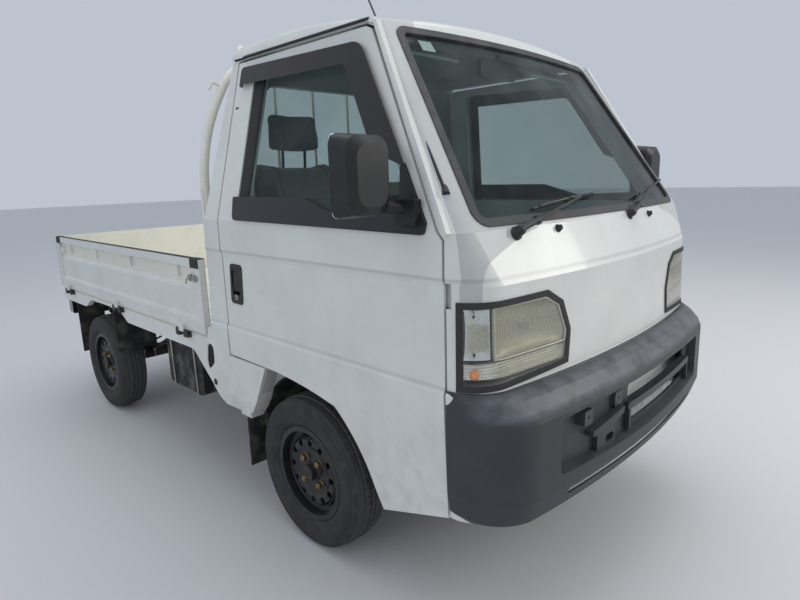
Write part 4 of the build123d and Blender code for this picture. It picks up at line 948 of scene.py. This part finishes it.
class AddHeadlamps(bpy.types.Operator):
    """Fill the headlamps: bowls, fluted sheets, rims, screws, the bulb's cap and the amber bulb"""

    bl_idname = "truck.headlamps"
    bl_label = "Headlamps"

    def execute(self, context):
        kept = []

        def keep(piece, name, finish, angle=60):
            dress(piece, "truck", look(finish), angle)
            piece.name = f"{name}_right"
            kept.append((piece, name))

        def sheet(name, finish, wall, angle, *shape):
            keep(modify(lens_sheet(name, *shape), "SOLIDIFY", thickness=wall), name, finish, angle)

        # main bowl with its bulb's cap, and the fluted glass before it
        sheet("lamp_bowl", "lamp_bowl", 0.0012, 60, main_foot, main_head, lambda v: main_lens_outer,
              main_lens_edge, lambda u, v: dish(u, v, 0.009, 0.031), 36, 20)
        sheet("lamp_flutes", "fluted_glass", 0.0008, 80, main_foot + 2, main_head - 2,
              lambda v: main_lens_outer + 2, lambda v: main_lens_edge(v) - 3,
              lambda u, v: 0.0045 + 0.0011 * ripple(u, 34) * (0.35 < v < 0.8) + 0.0006 * ripple(u, 68),
              272, 10)
        keep(turned("bulb", [(0.0, 0.0), (0.0015, 0.0095), (0.009, 0.0105), (0.015, 0.0105), (0.018, 0.009)],
                    on_lens(-500, 876, 0.012), (0, 1, 0), 24), "lamp_bulb_cap", "bright_metal")
        # yellowed rim round the main lens
        line = []
        steps = 10
        for (xa, za), (xb, zb) in zip(LAMP_RIM, LAMP_RIM[1:] + LAMP_RIM[:1]):
            line += [on_lens(xa + (xb - xa) * i / steps, za + (zb - za) * i / steps, 0.0035)
                     for i in range(steps)]
        keep(tube("rim", line, 0.0032, closed=True, smooth=False), "lamp_rim", "yellow_rim")

        # side lens: a grey pocket, its fluted window and two screws
        sheet("side_lamp_bowl", "lamp_bowl_clear", 0.001, 60, main_foot, main_head, lambda v: side_lens_outer,
              lambda v: side_lens_inner, lambda u, v: dish(u, v, 0.006, 0.02), 12, 16)
        sheet("side_lamp_window", "fluted_glass", 0.0008, 80, 838, 900, lambda v: side_lens_outer + 8,
              lambda v: side_lens_inner - 4, lambda u, v: 0.004 + 0.0012 * ripple(u, 7), 56, 8)
        for z in (925, 832):
            place = on_lens(-662, z, 0.0)
            seat = [(-0.006, 0.0075), (0.0004, 0.0075), (0.0012, 0.0055), (0.0016, 0.0)]
            keep(turned("head", seat, place, (0, -1, 0), 20), f"lamp_screw_{z}_seat", "clear_lens")
            head = [(-0.001, 0.0034), (0.0018, 0.0034), (0.0023, 0.0018), (0.0008, 0.0)]
            keep(turned("slot_head", head, place, (0, -1, 0), 12), f"lamp_screw_{z}", "wiper_black")

        # lower strip: ribbed back, clear ribs across it, and the amber bulb at its outer end
        sheet("strip_back", "lamp_strip_back", 0.001, 80, 769, 807, lambda v: side_lens_outer,
              lambda v: -354 + 3 * (1 - v), lambda u, v: dish(u, v, 0.006, 0.022) + 0.0016 * ripple(v, 5),
              40, 30)
        sheet("strip_ribs", "fluted_glass", 0.0008, 80, 770, 805, lambda v: -612, lambda v: -358,
              lambda u, v: 0.004 + 0.0014 * ripple(v, 6), 24, 36)
        bulb = [(-0.012, 0.010), (-0.004, 0.0145), (0.004, 0.0135), (0.009, 0.0085), (0.0105, 0.0)]
        keep(turned("amber", bulb, on_lens(-652, 779, 0.017), (0, -1, 0), 28), "indicator_bulb", "amber_bulb")

        for piece, name in kept:
            other_side(piece, f"{name}_left", "truck")
        return {"FINISHED"}


# Seats

# the stuffed parts: name, outline from the side as station and height, half width, voxel and fill
seat_middle = -385
PADS = (
    ("seat_cushion", ((-236, 690), (-246, 752), (-218, 776), (142, 762), (172, 730), (178, 690)),
     195, 0.006, 0.75),
    ("seat_back", ((218, 722), (190, 784), (326, 1310), (362, 1318), (378, 1292), (296, 722)),
     170, 0.006, 0.7),
    ("seat_headrest", ((308, 1360), (306, 1402), (324, 1482), (356, 1486), (372, 1464), (368, 1360)),
     98, 0.005, 0.8),
)
pad_movement = 0.022
pad_frames = 20


def in_seat(rows):
    """Points of the driver's seat, from millimetres off its middle, rearwards of the front axle, and up."""
    return spots([(seat_middle + x, y, z) for x, y, z in rows])


def stuffed(name, outline, half, voxel, pressure):
    """A padded form: its side outline carried across, blown up as cloth, and held near where it began."""
    piece = plate(name, in_seat([(-half, y, z) for y, z in outline]), (half * 2 / 1000, 0, 0))
    modify(piece, "BEVEL", width=0.016, segments=3, limit_method="ANGLE")
    only(piece)
    piece.data.remesh_voxel_size = voxel
    bpy.ops.object.voxel_remesh()
    start = [v.co.copy() for v in piece.data.vertices]
    bpy.context.scene.frame_set(1)
    cloth = piece.modifiers.new("Cloth", "CLOTH")
    cloth.settings.use_pressure = True
    cloth.settings.uniform_pressure_force = pressure
    cloth.settings.effector_weights.gravity = 0.0
    cloth.settings.quality = 4
    cloth.point_cache.frame_start = 1
    cloth.point_cache.frame_end = pad_frames
    for step in range(1, pad_frames + 1):
        bpy.context.scene.frame_set(step)
    bpy.ops.object.modifier_apply(modifier=cloth.name)
    bpy.context.scene.frame_set(1)
    for vertex, place in zip(piece.data.vertices, start):
        moved = vertex.co - place
        if moved.length > pad_movement:
            vertex.co = place + moved * (pad_movement / moved.length)
    return modify(piece, "SUBSURF", levels=1, render_levels=1)


def sew(piece, lines, runs, depth=0.006, width=0.010):
    """Sews channels into a pad. Each line is an axis and its place on it, and a test of the normal says
    where the lines run."""
    for vertex in piece.data.vertices:
        for axis, place in lines:
            away = abs(vertex.co[axis] - place)
            if away < width and runs(vertex.normal):
                vertex.co -= vertex.normal * depth * (1 - (away / width) ** 2) ** 2


class AddSeats(bpy.types.Operator):
    """Stuff the seats' cushions, backs and headrests, and frame them"""

    bl_idname = "truck.seats"
    bl_label = "Seats"

    def execute(self, context):
        pressure = context.scene.truck_sizes.pad_pressure
        pads = {name: stuffed(f"{name}_right", outline, half, voxel, pressure)
                for name, outline, half, voxel, fill in PADS}
        middle = seat_middle / 1000
        up = (lambda normal: normal.z > 0.35)
        front = (lambda normal: normal.y < -0.2)
        sew(pads["seat_cushion"], ((0, middle - 0.125), (0, middle + 0.125), (1, front_axle - 0.13),
                                   (1, front_axle + 0.09)), up)
        sew(pads["seat_back"], ((0, middle - 0.11), (0, middle + 0.11), (2, 0.90), (2, 1.17)), front)
        sew(pads["seat_headrest"], ((0, middle - 0.07), (0, middle + 0.07)), front, 0.004, 0.008)
        for name, outline, half, voxel, fill in PADS:
            dress(pads[name], "truck", look("seat_cloth"), 80)

        parts = [tube("post", in_seat([(x, 345, 1290), (x, 340, 1375)]), 0.0055, smooth=False, sides=5)
                 for x in (-50, 50)]
        parts += [block("rail", *in_seat([(x - 14, -230, 666), (x + 14, 190, 690)]), 0.003)
                  for x in (-150, 150)]
        parts += [
            plate("pan", in_seat([(-188, -232, 690), (-188, 172, 690), (-188, 172, 704), (-188, -232, 704)]),
                  (0.376, 0, 0), 0.004),
            plate("shell", in_seat([(-165, 292, 716), (-165, 372, 1296), (-165, 380, 1290),
                                    (-165, 303, 712)]), (0.33, 0, 0), 0.002),
            plate("recliner", in_seat([(188, 150, 690), (188, 250, 690), (188, 262, 790), (188, 214, 800),
                                       (188, 150, 730)]), (0.018, 0, 0), 0.005),
            tube("lever", in_seat([(208, 175, 716), (214, 120, 720), (214, 90, 728)]), 0.006),
        ]
        seat_frame = dress(join("seat_frame_right", parts), "truck", look("trim_plastic"), 40)
        edges = [tube("piping", in_seat([(x, -238, 716), (x, 150, 716)]), 0.0035, smooth=False)
                 for x in (-206, 206)]
        piping = dress(join("seat_piping_right", edges), "truck", look("seat_side"), 60)

        for name, outline, half, voxel, fill in PADS:
            twin = other_side(pads[name], f"{name}_left", "truck")
        other_side(seat_frame, "seat_frame_left", "truck")
        other_side(piping, "seat_piping_left", "truck")
        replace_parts(pads["seat_cushion"], "seat_right")
        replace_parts(bpy.data.objects["seat_cushion_left"], "seat_left")
        return {"FINISHED"}


# Windscreen: wipers, washer nozzles and sticker

# the screen's plane: its foot, its way up the glass, its way out, and the radius of its bow in metres
screen_foot = spot(0, -735, 1126)
screen_up = (spot(0, -366, 1652) - screen_foot).normalized()
screen_out = Vector((0, -screen_up.z, screen_up.y))
screen_bow = 4.4
# each wiper in millimetres across and up the glass: pivot, arm's tip, blade's two ends
WIPERS = (
    ((-500, -22), (-190, 49), (-410, 34), (-70, 66)),
    ((100, -14), (345, 60), (205, 40), (600, 96)),
)


def on_screen(across, up, lift=0.0):
    """A point on the windscreen, from millimetres across, up the glass and off it."""
    x = across / 1000
    sag = screen_bow - math.sqrt(screen_bow ** 2 - x ** 2)
    return screen_foot + screen_up * up / 1000 + screen_out * (lift / 1000) + Vector((x, sag, 0))


class AddWipers(bpy.types.Operator):
    """Shape the washer nozzles and both wipers: capped pivots, jointed arms, blades with claws and rubbers"""

    bl_idname = "truck.wipers"
    bl_label = "Wipers and nozzles"

    def execute(self, context):
        metal, rubbers = [], []
        for pivot, tip, low, high in WIPERS:
            cap = [(-0.006, 0.018), (0.004, 0.018), (0.008, 0.0145), (0.02, 0.0135), (0.026, 0.0115),
                   (0.029, 0.008), (0.030, 0.0)]
            metal.append(turned("base", cap, on_screen(*pivot, -6), screen_out, 28))
            knee = on_screen(pivot[0] + (tip[0] - pivot[0]) * 0.2, pivot[1] + (tip[1] - pivot[1]) * 0.2, 25)
            metal.append(tube("arm_root", [on_screen(*pivot, 16), knee], 0.0085, smooth=False))
            metal.append(tube("arm", [knee, on_screen(*tip, 24)], 0.0038, smooth=False))
            metal.append(turned("joint", [(-0.011, 0.0), (-0.011, 0.0075), (0.011, 0.0075), (0.011, 0.0)],
                                knee, screen_up, 20))

            def blade(share, lift):
                across, up = [a + (b - a) * share for a, b in zip(low, high)]
                return on_screen(across, up, lift)

            def bridge(name, shares, foot, rise, radius, reach=(0.0, 1.0)):
                rows = [blade(reach[0] + (reach[1] - reach[0]) * s, foot + rise * math.sin(math.pi * s))
                        for s in shares]
                metal.append(tube(name, rows, radius, sides=2))

            bridge("bow", (0.08, 0.25, 0.4, 0.5, 0.6, 0.75, 0.92), 13, 9, 0.0034)
            for reach in ((0.02, 0.3), (0.7, 0.98)):
                bridge("yoke", (0, 0.3, 0.7, 1), 10, 4, 0.0028, reach)
            for share in (0.02, 0.3, 0.5, 0.7, 0.98):
                metal.append(tube("claw", [blade(share, 5), blade(share, 12)], 0.004, smooth=False, sides=2))
            metal.append(tube("clip", [on_screen(*tip, 24), blade(0.5, 23)], 0.0045, smooth=False, sides=2))
            lip = [blade(share, 4.2) for share in (0, 0.25, 0.5, 0.75, 1)]
            rubbers.append(tube("lip", lip, 0.0036, sides=2))
            rubbers.append(tube("edge", [p - screen_out * 0.0024 for p in lip], 0.0018, sides=1))
        arms = dress(join("wiper_arms", metal), "truck", look("wiper_black"), 40)
        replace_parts(arms, "wipers")
        dress(join("wiper_rubbers", rubbers), "truck", look("black_rubber"), 60)

        nozzles = []
        for x in (-329, 263):
            place, normal = on_skin("cab_shell", x / 1000, 1.104)
            nozzles.append(turned("nozzle", [(-0.004, 0.0), (-0.004, 0.011), (0.002, 0.011), (0.006, 0.0085),
                                             (0.012, 0.0065), (0.013, 0.0)], place, normal, 20))
            jet = [place + normal * 0.008, place + normal * 0.011 + Vector((0, 0, 0.006))]
            nozzles.append(tube("jet", jet, 0.0028, smooth=False, sides=2))
        dress(join("washer_nozzles", nozzles), "truck", look("black_rubber"), 50)
        return {"FINISHED"}


class AddScreenSticker(bpy.types.Operator):
    """Lay the small blank sticker inside the windscreen's head"""

    bl_idname = "truck.sticker"
    bl_label = "Sticker"

    def execute(self, context):
        points = [on_screen(x, up, -7) for up in (566, 602) for x in (-452, -428, -404)]
        sheet = raw("screen_sticker", points, [(0, 1, 4, 3), (1, 2, 5, 4)])
        modify(sheet, "SOLIDIFY", thickness=0.0006)
        dress(sheet, "truck", look("sticker"), 60)
        return {"FINISHED"}


# Doors

# the door glass's corners as station and height: rear foot, rear top, front top, front foot
WINDOW = ((283, 1128), (240, 1608), (-272, 1590), (-572, 1128))


def window_line(insets, radius=26.0):
    """The door glass's outline as station and height, rounded, each edge drawn in by its own inset."""
    corners = [Vector(c) for c in WINDOW]
    middle = sum(corners, Vector((0, 0))) / 4
    edges = []
    for i, inset in enumerate(insets):
        way = (corners[(i + 1) % 4] - corners[i]).normalized()
        inward = Vector((-way.y, way.x))
        if inward.dot(middle - corners[i]) < 0:
            inward = -inward
        edges.append((corners[i] + inward * inset, way))
    drawn = []
    for i in range(4):
        (a, u), (b, v) = edges[i - 1], edges[i]
        away = b - a
        corner = a + u * ((away.x * v.y - away.y * v.x) / (u.x * v.y - u.y * v.x))
        reach = radius * math.tan(u.angle(v) / 2)
        start, end = corner - u * reach, corner + v * reach
        drawn += [start * (1 - t) ** 2 + corner * 2 * t * (1 - t) + end * t ** 2
                  for t in [k / 7 for k in range(8)]]
    return drawn


def on_side(node, station, z):
    """The outermost point of a CAD piece on the driver's side."""
    start = Vector((-3, front_axle + station / 1000, z / 1000))
    hit, place, *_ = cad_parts[node].ray_cast(start, Vector((1, 0, 0)))
    if not hit:
        raise RuntimeError(f"nothing of {node} lies at station {station}, height {z}")
    return place


def side_plane(node, station):
    """A CAD piece's outer side as a function of height: metres of x from millimetres of z."""
    (za, xa), (zb, xb) = [(z, on_side(node, station, z).x) for z in (1180, 1540)]
    return lambda z: xa + (xb - xa) * (z - za) / (zb - za)


def lofted(name, rings, closed=True):
    """A band through rings of points, each ring closed on itself."""
    count, size = len(rings), len(rings[0])
    faces = []
    for i in range(count if closed else count - 1):
        j = (i + 1) % count
        for k in range(size):
            m = (k + 1) % size
            faces.append((i * size + k, i * size + m, j * size + m, j * size + k))
    if not closed:
        faces += [tuple(range(size)), tuple(range((count - 1) * size, count * size))]
    piece = raw(name, [p for ring in rings for p in ring], faces)
    edit(piece)
    return done(piece, outward=True)


def door_points(x, rows):
    """Points at one x in metres, from rows of station and height in millimetres."""
    return [Vector((x, front_axle + y / 1000, z / 1000)) for y, z in rows]


class AddDoorFittings(bpy.types.Operator):
    """Line the door windows, and shape their handles, locks, mirrors and inner fittings"""

    bl_idname = "truck.door_fittings"
    bl_label = "Door fittings"

    def execute(self, context):
        fitted = []

        def fit(piece, name, finish, slot="black_plastic"):
            dress(piece, "door_right", look(finish))
            fitted.append((piece, name, slot))

        glass = side_plane("door_glass_right", -60)
        skin = (lambda z: glass(z) - 0.008)
        # the channel's section: insets of the window's rear, top, front and foot edges, the plane and a lift
        sections = (
            ((-1, -1, -1, -1), skin, -0.0012), ((6, 4, 5, 5), skin, -0.0016),
            ((36, 9, 11, 9), glass, -0.0022), ((40, 12, 14, 12), glass, 0.0004),
            ((40, 12, 14, 12), glass, 0.0080), ((-1, -1, -1, -1), glass, 0.008),
        )
        lines = [[Vector((plane(z) + lift, front_axle + y / 1000, z / 1000)) for y, z in window_line(insets)]
                 for insets, plane, lift in sections]
        channel = lofted("window_channel_right", list(zip(*lines)))
        fit(channel, "window_channel", "black_rubber", "black_rubber")

        # the handle's paddle lies in its recess, with the lock below it
        paddle = plate("door_handle_right",
                       door_points(-0.6835, ((288, 950), (340, 952), (346, 868), (294, 866))),
                       (0.006, 0, 0), 0.0028, 3)
        grip = plate("grip", door_points(-0.6875, ((288, 952), (340, 954), (341, 944), (289, 942))),
                     (0.012, 0, 0), 0.0022, 3)
        lock = turned("lock", [(-0.004, 0.010), (0.005, 0.010), (0.0062, 0.0085), (0.0062, 0.0062),
                               (0.0045, 0.006), (0.0045, 0.0)],
                      (-0.683, front_axle + 0.322, 0.846), (-1, 0, 0), 24)
        keyway = block("keyway", (-0.6885, front_axle + 0.3214, 0.8425),
                       (-0.6865, front_axle + 0.3226, 0.8495), 0.0003)
        fit(join("door_handle_right", [paddle, grip]), "door_handle", "black_rubber")
        fit(lock, "door_lock", "zinc_plate", "black_metal")
        fit(keyway, "door_keyway", "wiper_black", "black_metal")

        # the mirror's glass sits in the housing's open rear face
        middle, half_wide, half_high, bend = (-0.812, 1.253), 0.066, 0.094, 0.016
        corners = []
        for cx, cz, start in ((1, 1, 0), (-1, 1, 90), (-1, -1, 180), (1, -1, 270)):
            for k in range(5):
                turn = math.radians(start + k * 22.5)
                corners.append(Vector((middle[0] + cx * (half_wide - bend) + bend * math.cos(turn),
                                       front_axle - 0.4765,
                                       middle[1] + cz * (half_high - bend) + bend * math.sin(turn))))
        fit(plate("mirror_glass_right", corners, (0, 0.0022, 0), 0.0008, 1), "mirror_glass", "mirror_glass",
            "glass")

        # inside: an armrest, a window winder and the catch's lever
        rest = plate("rest", spots([(-632, -230, 868), (-632, 150, 868), (-632, 160, 896),
                                    (-632, -240, 896)]), (0.045, 0, 0), 0.009, 3)
        winder = turned("winder", [(0.0, 0.02), (0.008, 0.02), (0.014, 0.012), (0.02, 0.0)],
                        spot(-632, -120, 960), (1, 0, 0), 24)
        crank = tube("crank", spots([(-618, -120, 960), (-610, -60, 985), (-606, -30, 998)]), 0.006,
                     smooth=False)
        knob = turned("knob", [(0.0, 0.006), (0.006, 0.010), (0.022, 0.010), (0.028, 0.006), (0.029, 0.0)],
                      spot(-608, -30, 998), (1, 0, 0), 20)
        lever = block("lever", spot(-632, -330, 948), spot(-616, -262, 966), 0.004)
        fit(join("door_inner_right", [rest, winder, crank, knob, lever]), "door_inner", "dash_plastic")
        for piece, name, slot in fitted:
            other_side(piece, f"{name}_left", "door_left")
        return {"FINISHED"}


# The body's small outer parts

FILLER_MOUTH = ((529, 634), (575, 630), (590, 560), (584, 522), (556, 538), (533, 560))
filler_middle = (561, 583)


class AddBodyTrim(bpy.types.Operator):
    """Add the drip rails, the filler's cap, the quarter's plug, and the gates' rail caps and latches"""

    bl_idname = "truck.body_trim"
    bl_label = "Body trim"

    def execute(self, context):
        # filler: a dark cup, and a cap with a grip bar across it
        cap = turned("filler_cap", [(-0.012, 0.0), (-0.012, 0.021), (-0.002, 0.021), (0.0, 0.0195),
                                    (0.001, 0.0)], spot(-668, *filler_middle), (-1, 0, 0), 36)
        bar = plate("bar", spots([(-668, 543, 576), (-668, 579, 584), (-668, 579, 590), (-668, 543, 582)]),
                    (-0.009, 0, 0), 0.0025)
        middle_y, middle_z = filler_middle
        rings = [[spot(x, middle_y + (y - middle_y) * grow, middle_z + (z - middle_z) * grow)
                  for y, z in FILLER_MOUTH]
                 for x, grow in ((-686, 1.03), (-660, 0.99), (-659.4, 0.99), (-659.4, 0.1))]
        cup = lofted("cup", rings, closed=False)
        dress(join("filler_cap", [cap, bar]), "truck", look("deep_black"))
        dress(cup, "truck", look("deep_black"))
        # plug in the quarter's skirt
        plug = turned("quarter_plug", [(-0.002, 0.013), (0.0012, 0.013), (0.0024, 0.011), (0.0026, 0.0)],
                      (on_side("cab_shell", 541, 478).x, front_axle + 0.541, 0.478), (-1, 0, 0), 28)
        dress(plug, "truck", look("black_rubber"))

        # black strips along the roof's gutters
        strips = []
        for side in SIDES.values():
            line = []
            for station in range(-314, 371, 38):
                place = on_side("cab_shell", station, 1658)
                line.append(Vector((side * abs(place.x), place.y, place.z - 0.001)))
            strips.append(tube("strip", line, 0.0045, smooth=False, sides=2))
        dress(join("drip_rails", strips), "truck", look("black_rubber"), 50)

        # gates: a strip along the top rail with wraps at its ends, and a latch below its front end
        for name, side in SIDES.items():
            body = f"gate_{name}"
            parts = [side_block("wrap", side, (666, 698.5), along, (926, 965), 0.003)
                     for along in ((575, 644), (2289, 2358))]
            parts.append(side_block("strip", side, (674, 690), (646, 2290), (960, 965.5), 0.0025))
            dress(join(f"{body}_rail_caps", parts), body, look("black_rubber"))
            bar = side_block("bar", side, (690, 701), (588, 668), (880, 894), 0.002)
            guides = [side_block("guide", side, (690, 704), (y, y + 14), (874, 900), 0.002)
                      for y in (600, 640)]
            handle = tube("handle", spots([(side * 702, 662, 884), (side * 708, 664, 878),
                                           (side * 709, 664, 862)]), 0.003, smooth=False)
            dress(join(f"{body}_latch", [bar, handle] + guides), body, look("zinc_plate"))
        return {"FINISHED"}


# Inside the cab, and the antenna's clips outside it


class AddCabFittings(bpy.types.Operator):
    """Add the dials, gear lever, sun visors and belts of the cab, and the antenna's clips"""

    bl_idname = "truck.cab_fittings"
    bl_label = "Cab fittings"

    def execute(self, context):
        # dials on the dashboard's face behind the steering wheel
        for index, (x, radius) in enumerate(((-430, 0.036), (-340, 0.036), (-385, 0.016))):
            hit, place, *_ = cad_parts["dashboard"].ray_cast(
                Vector((x / 1000, front_axle + 0.2, 1.035)), Vector((0, -1, 0)))
            if not hit:
                raise RuntimeError(f"the dashboard has no face at x {x}")
            rows = [(-0.004, 0.0), (-0.004, radius), (0.003, radius), (0.0045, radius - 0.0015),
                    (0.0015, radius - 0.003), (0.001, 0.0)]
            dress(turned(f"dial_{index}", rows, place, (0, 1, 0), 36), "truck", look("dial"))
            needle = block(f"needle_{index}", place + Vector((-0.001, 0.0015, -0.002)),
                           place + Vector((0.001, 0.0028, radius * 0.75)), 0.0004, 1)
            dress(needle, "truck", look("dial_mark"))

        # gear lever between the seats, in its boot
        boot = turned("boot", [(0.0, 0.055), (0.012, 0.05), (0.02, 0.034), (0.03, 0.036), (0.038, 0.024),
                               (0.048, 0.026), (0.056, 0.012), (0.06, 0.0)],
                      spot(0, -330, 640), (0, 0.1, 1), 28)
        stick = tube("stick", spots([(0, -326, 690), (0, -318, 760), (0, -312, 850)]), 0.006)
        knob = turned("knob", [(-0.02, 0.009), (-0.016, 0.015), (0.002, 0.021), (0.014, 0.02), (0.022, 0.011),
                               (0.024, 0.0)], spot(0, -311, 868), (0, 0.05, 1), 28)
        dress(join("gear_lever", [boot, stick, knob]), "truck", look("dash_plastic"))

        # sun visors under the headlining
        for name, side in SIDES.items():
            near, far = side * 385 - 175, side * 385 + 175
            corners = spots([(near, -316, 1596), (far, -316, 1596), (far, -214, 1650), (near, -214, 1650)])
            visor = plate(f"sun_visor_{name}", corners, (0, 0.004, -0.009), 0.004, 3)
            dress(visor, "truck", look("pale_plastic"))

        # belts hang from the rear pillars down behind each door
        for name, side in SIDES.items():
            line = ((606, 330, 1470), (608, 338, 1200), (616, 340, 900))
            points = [spot(side * x, y + edge, z) for x, y, z in line for edge in (-23, 23)]
            belt = modify(raw(f"belt_{name}", points, [(0, 1, 3, 2), (2, 3, 5, 4)]), "SOLIDIFY",
                          thickness=0.0015, offset=0.0)
            dress(belt, "truck", look("belt_web"))
            anchor = side_block("anchor", side, (600, 614), (322, 346), (1462, 1500), 0.004)
            tongue = side_block("tongue", side, (604, 613), (312, 366), (1010, 1050), 0.003)
            dress(join(f"belt_fittings_{name}", [anchor, tongue]), "truck", look("dash_plastic"))

        # the antenna's two clips on the pillar
        clips = [turned("clip", [(-0.007, 0.0), (-0.007, 0.006), (0.007, 0.006), (0.007, 0.0)],
                        spot(*place), (0.2, 0.45, 0.85), 16)
                 for place in ((-640, -593, 1227), (-578, -385, 1547))]
        dress(join("antenna_clips", clips), "truck", look("black_rubber"))
        return {"FINISHED"}


class AddChassisFittings(bpy.types.Operator):
    """Add the leaf springs' bolts, a brake pipe with its hoses, and the tank's straps"""

    bl_idname = "truck.chassis_fittings"
    bl_label = "Chassis fittings"

    def execute(self, context):
        metal, hoses = [], []
        for side in SIDES.values():
            for station in (1856, 1944):
                bolt = spots([(side * 399, station, 250), (side * 399, station, 345),
                              (side * 461, station, 345), (side * 461, station, 250)])
                metal.append(tube("u_bolt", bolt, 0.0055, smooth=False))
                for x in (399, 461):
                    metal.append(hex_nut("nut", spot(side * x, station, 296), (0, 0, -1), 0.010, 0.0, 0.010))
            rear = spots([(side * 300, 1700, 445), (side * 350, 1760, 400), (side * 380, 1860, 345),
                          (side * 430, 1890, 330)])
            hoses.append(tube("hose", rear, 0.006))
        for station in (800, 1020):
            strap = spots([(-648, station, 592), (-645, station, 345), (-636, station, 341),
                           (-356, station, 341), (-348, station, 345), (-346, station, 592)])
            metal.append(tube("strap", strap, 0.004, smooth=False, sides=2))
        line = spots([(-262, -400, 430), (-262, 600, 430), (-262, 1500, 470), (-262, 1700, 470)])
        metal.append(tube("brake_pipe", line, 0.003, smooth=False, sides=2))
        dress(join("chassis_bolts", metal), "truck", look("zinc_plate"), 40)
        dress(join("brake_hoses", hoses), "truck", look("black_rubber"), 60)
        return {"FINISHED"}


class SetStage(bpy.types.Operator):
    """Lay the floor, light the truck and place the camera where the photograph was taken"""

    bl_idname = "truck.stage"
    bl_label = "Stage"

    def execute(self, context):
        f = Finish("studio_floor", roughness=0.75)
        patch = f.noise(1.2, 5.0)
        # 1 where the camera looks straight at the floor
        direct = Wire(f, f.node("LightPath").outputs["Is Camera Ray"])
        grey = f.mix(patch, (0.56, 0.57, 0.58), (0.62, 0.62, 0.62))
        f.set(base_color=f.mix(direct * 0.6, grey, (0.74, 0.74, 0.74)))
        f.bump(f.noise(60.0, 3.0), 0.05, 0.001)
        floor = raw("studio_floor", [(-40, -40, 0), (40, -40, 0), (40, 40, 0), (-40, 40, 0)], [(0, 1, 2, 3)])
        floor.data.materials.append(f.material)

        world = bpy.data.worlds.new("studio")
        context.scene.world = world
        world.use_nodes = True
        world.node_tree.nodes["Background"].inputs["Color"].default_value = (0.82, 0.89, 1.0, 1.0)
        world.node_tree.nodes["Background"].inputs["Strength"].default_value = 0.62

        # each light: name, place, aim, size in metres, power in watts, colour
        for name, place, aim, size, power, colour in (
            ("sky_panel", (0.5, -0.5, 6.5), (0, 0, 0.8), 6.0, 130.0, (0.97, 0.98, 1.0)),
            ("front_panel", (3.6, -5.5, 3.4), (0.3, -1.4, 0.9), 3.0, 125.0, (1.0, 0.95, 0.84)),
            ("side_panel", (-6.0, -1.0, 2.6), (-0.6, -0.2, 0.9), 3.4, 30.0, (0.86, 0.92, 1.0)),
        ):
            lamp = bpy.data.lights.new(name, "AREA")
            lamp.energy = power
            lamp.size = size
            lamp.color = colour
            holder = bpy.data.objects.new(name, lamp)
            holder.location = place
            holder.rotation_euler = (Vector(aim) - Vector(place)).to_track_quat("-Z", "Y").to_euler()
            context.scene.collection.objects.link(holder)

        context.scene.view_settings.view_transform = "Standard"
        # the camera as it was fitted to the photograph: its lens, its turns and its place
        lens = bpy.data.cameras.new("camera")
        lens.sensor_width = 36.0
        lens.lens = 25.67
        lens.clip_end = 200.0
        camera = bpy.data.objects.new("camera", lens)
        context.scene.collection.objects.link(camera)
        turn, pitch, roll = math.radians(-45.433), math.radians(-12.143), math.radians(-1.714)
        ahead = Vector((-math.sin(turn) * math.cos(pitch), math.cos(turn) * math.cos(pitch), math.sin(pitch)))
        right = ahead.cross(Vector((0, 0, 1))).normalized()
        up = right.cross(ahead)
        across = right * math.cos(roll) + up * math.sin(roll)
        above = up * math.cos(roll) - right * math.sin(roll)
        frame_of_view = Matrix((across, above, -ahead)).transposed().to_4x4()
        frame_of_view.translation = (-1.699, -2.2535, 1.248)
        camera.matrix_world = frame_of_view
        context.scene.camera = camera
        return {"FINISHED"}


STEPS = (DressFinishes, AddTyres, AddWheelFittings, AddHeadlamps, AddSeats, AddWipers, AddScreenSticker,
         AddDoorFittings, AddBodyTrim, AddCabFittings, AddChassisFittings, SetStage)


class TruckPanel(bpy.types.Panel):
    """Lists what dresses the truck"""

    bl_idname = "VIEW3D_PT_truck"
    bl_label = "Kei Truck"
    bl_space_type = "VIEW_3D"
    bl_region_type = "UI"
    bl_category = "Kei Truck"

    def draw(self, context):
        for group in (context.scene.truck_colours, context.scene.truck_sizes):
            box = self.layout.box()
            for name in group.__annotations__:
                box.prop(group, name)
        for step in STEPS:
            self.layout.operator(step.bl_idname)


def register():
    for kind in (TruckColours, TruckSizes, *STEPS, TruckPanel):
        bpy.utils.register_class(kind)
    bpy.types.Scene.truck_colours = PointerProperty(type=TruckColours)
    bpy.types.Scene.truck_sizes = PointerProperty(type=TruckSizes)


def unregister():
    del bpy.types.Scene.truck_sizes
    del bpy.types.Scene.truck_colours
    for kind in (TruckPanel, *reversed(STEPS), TruckSizes, TruckColours):
        bpy.utils.unregister_class(kind)


def main():
    """Dresses the truck, one step after another."""
    register()
    for step in STEPS:
        group, call = step.bl_idname.split(".")
        getattr(getattr(bpy.ops, group), call)()


if __name__ == "__main__":
    main()
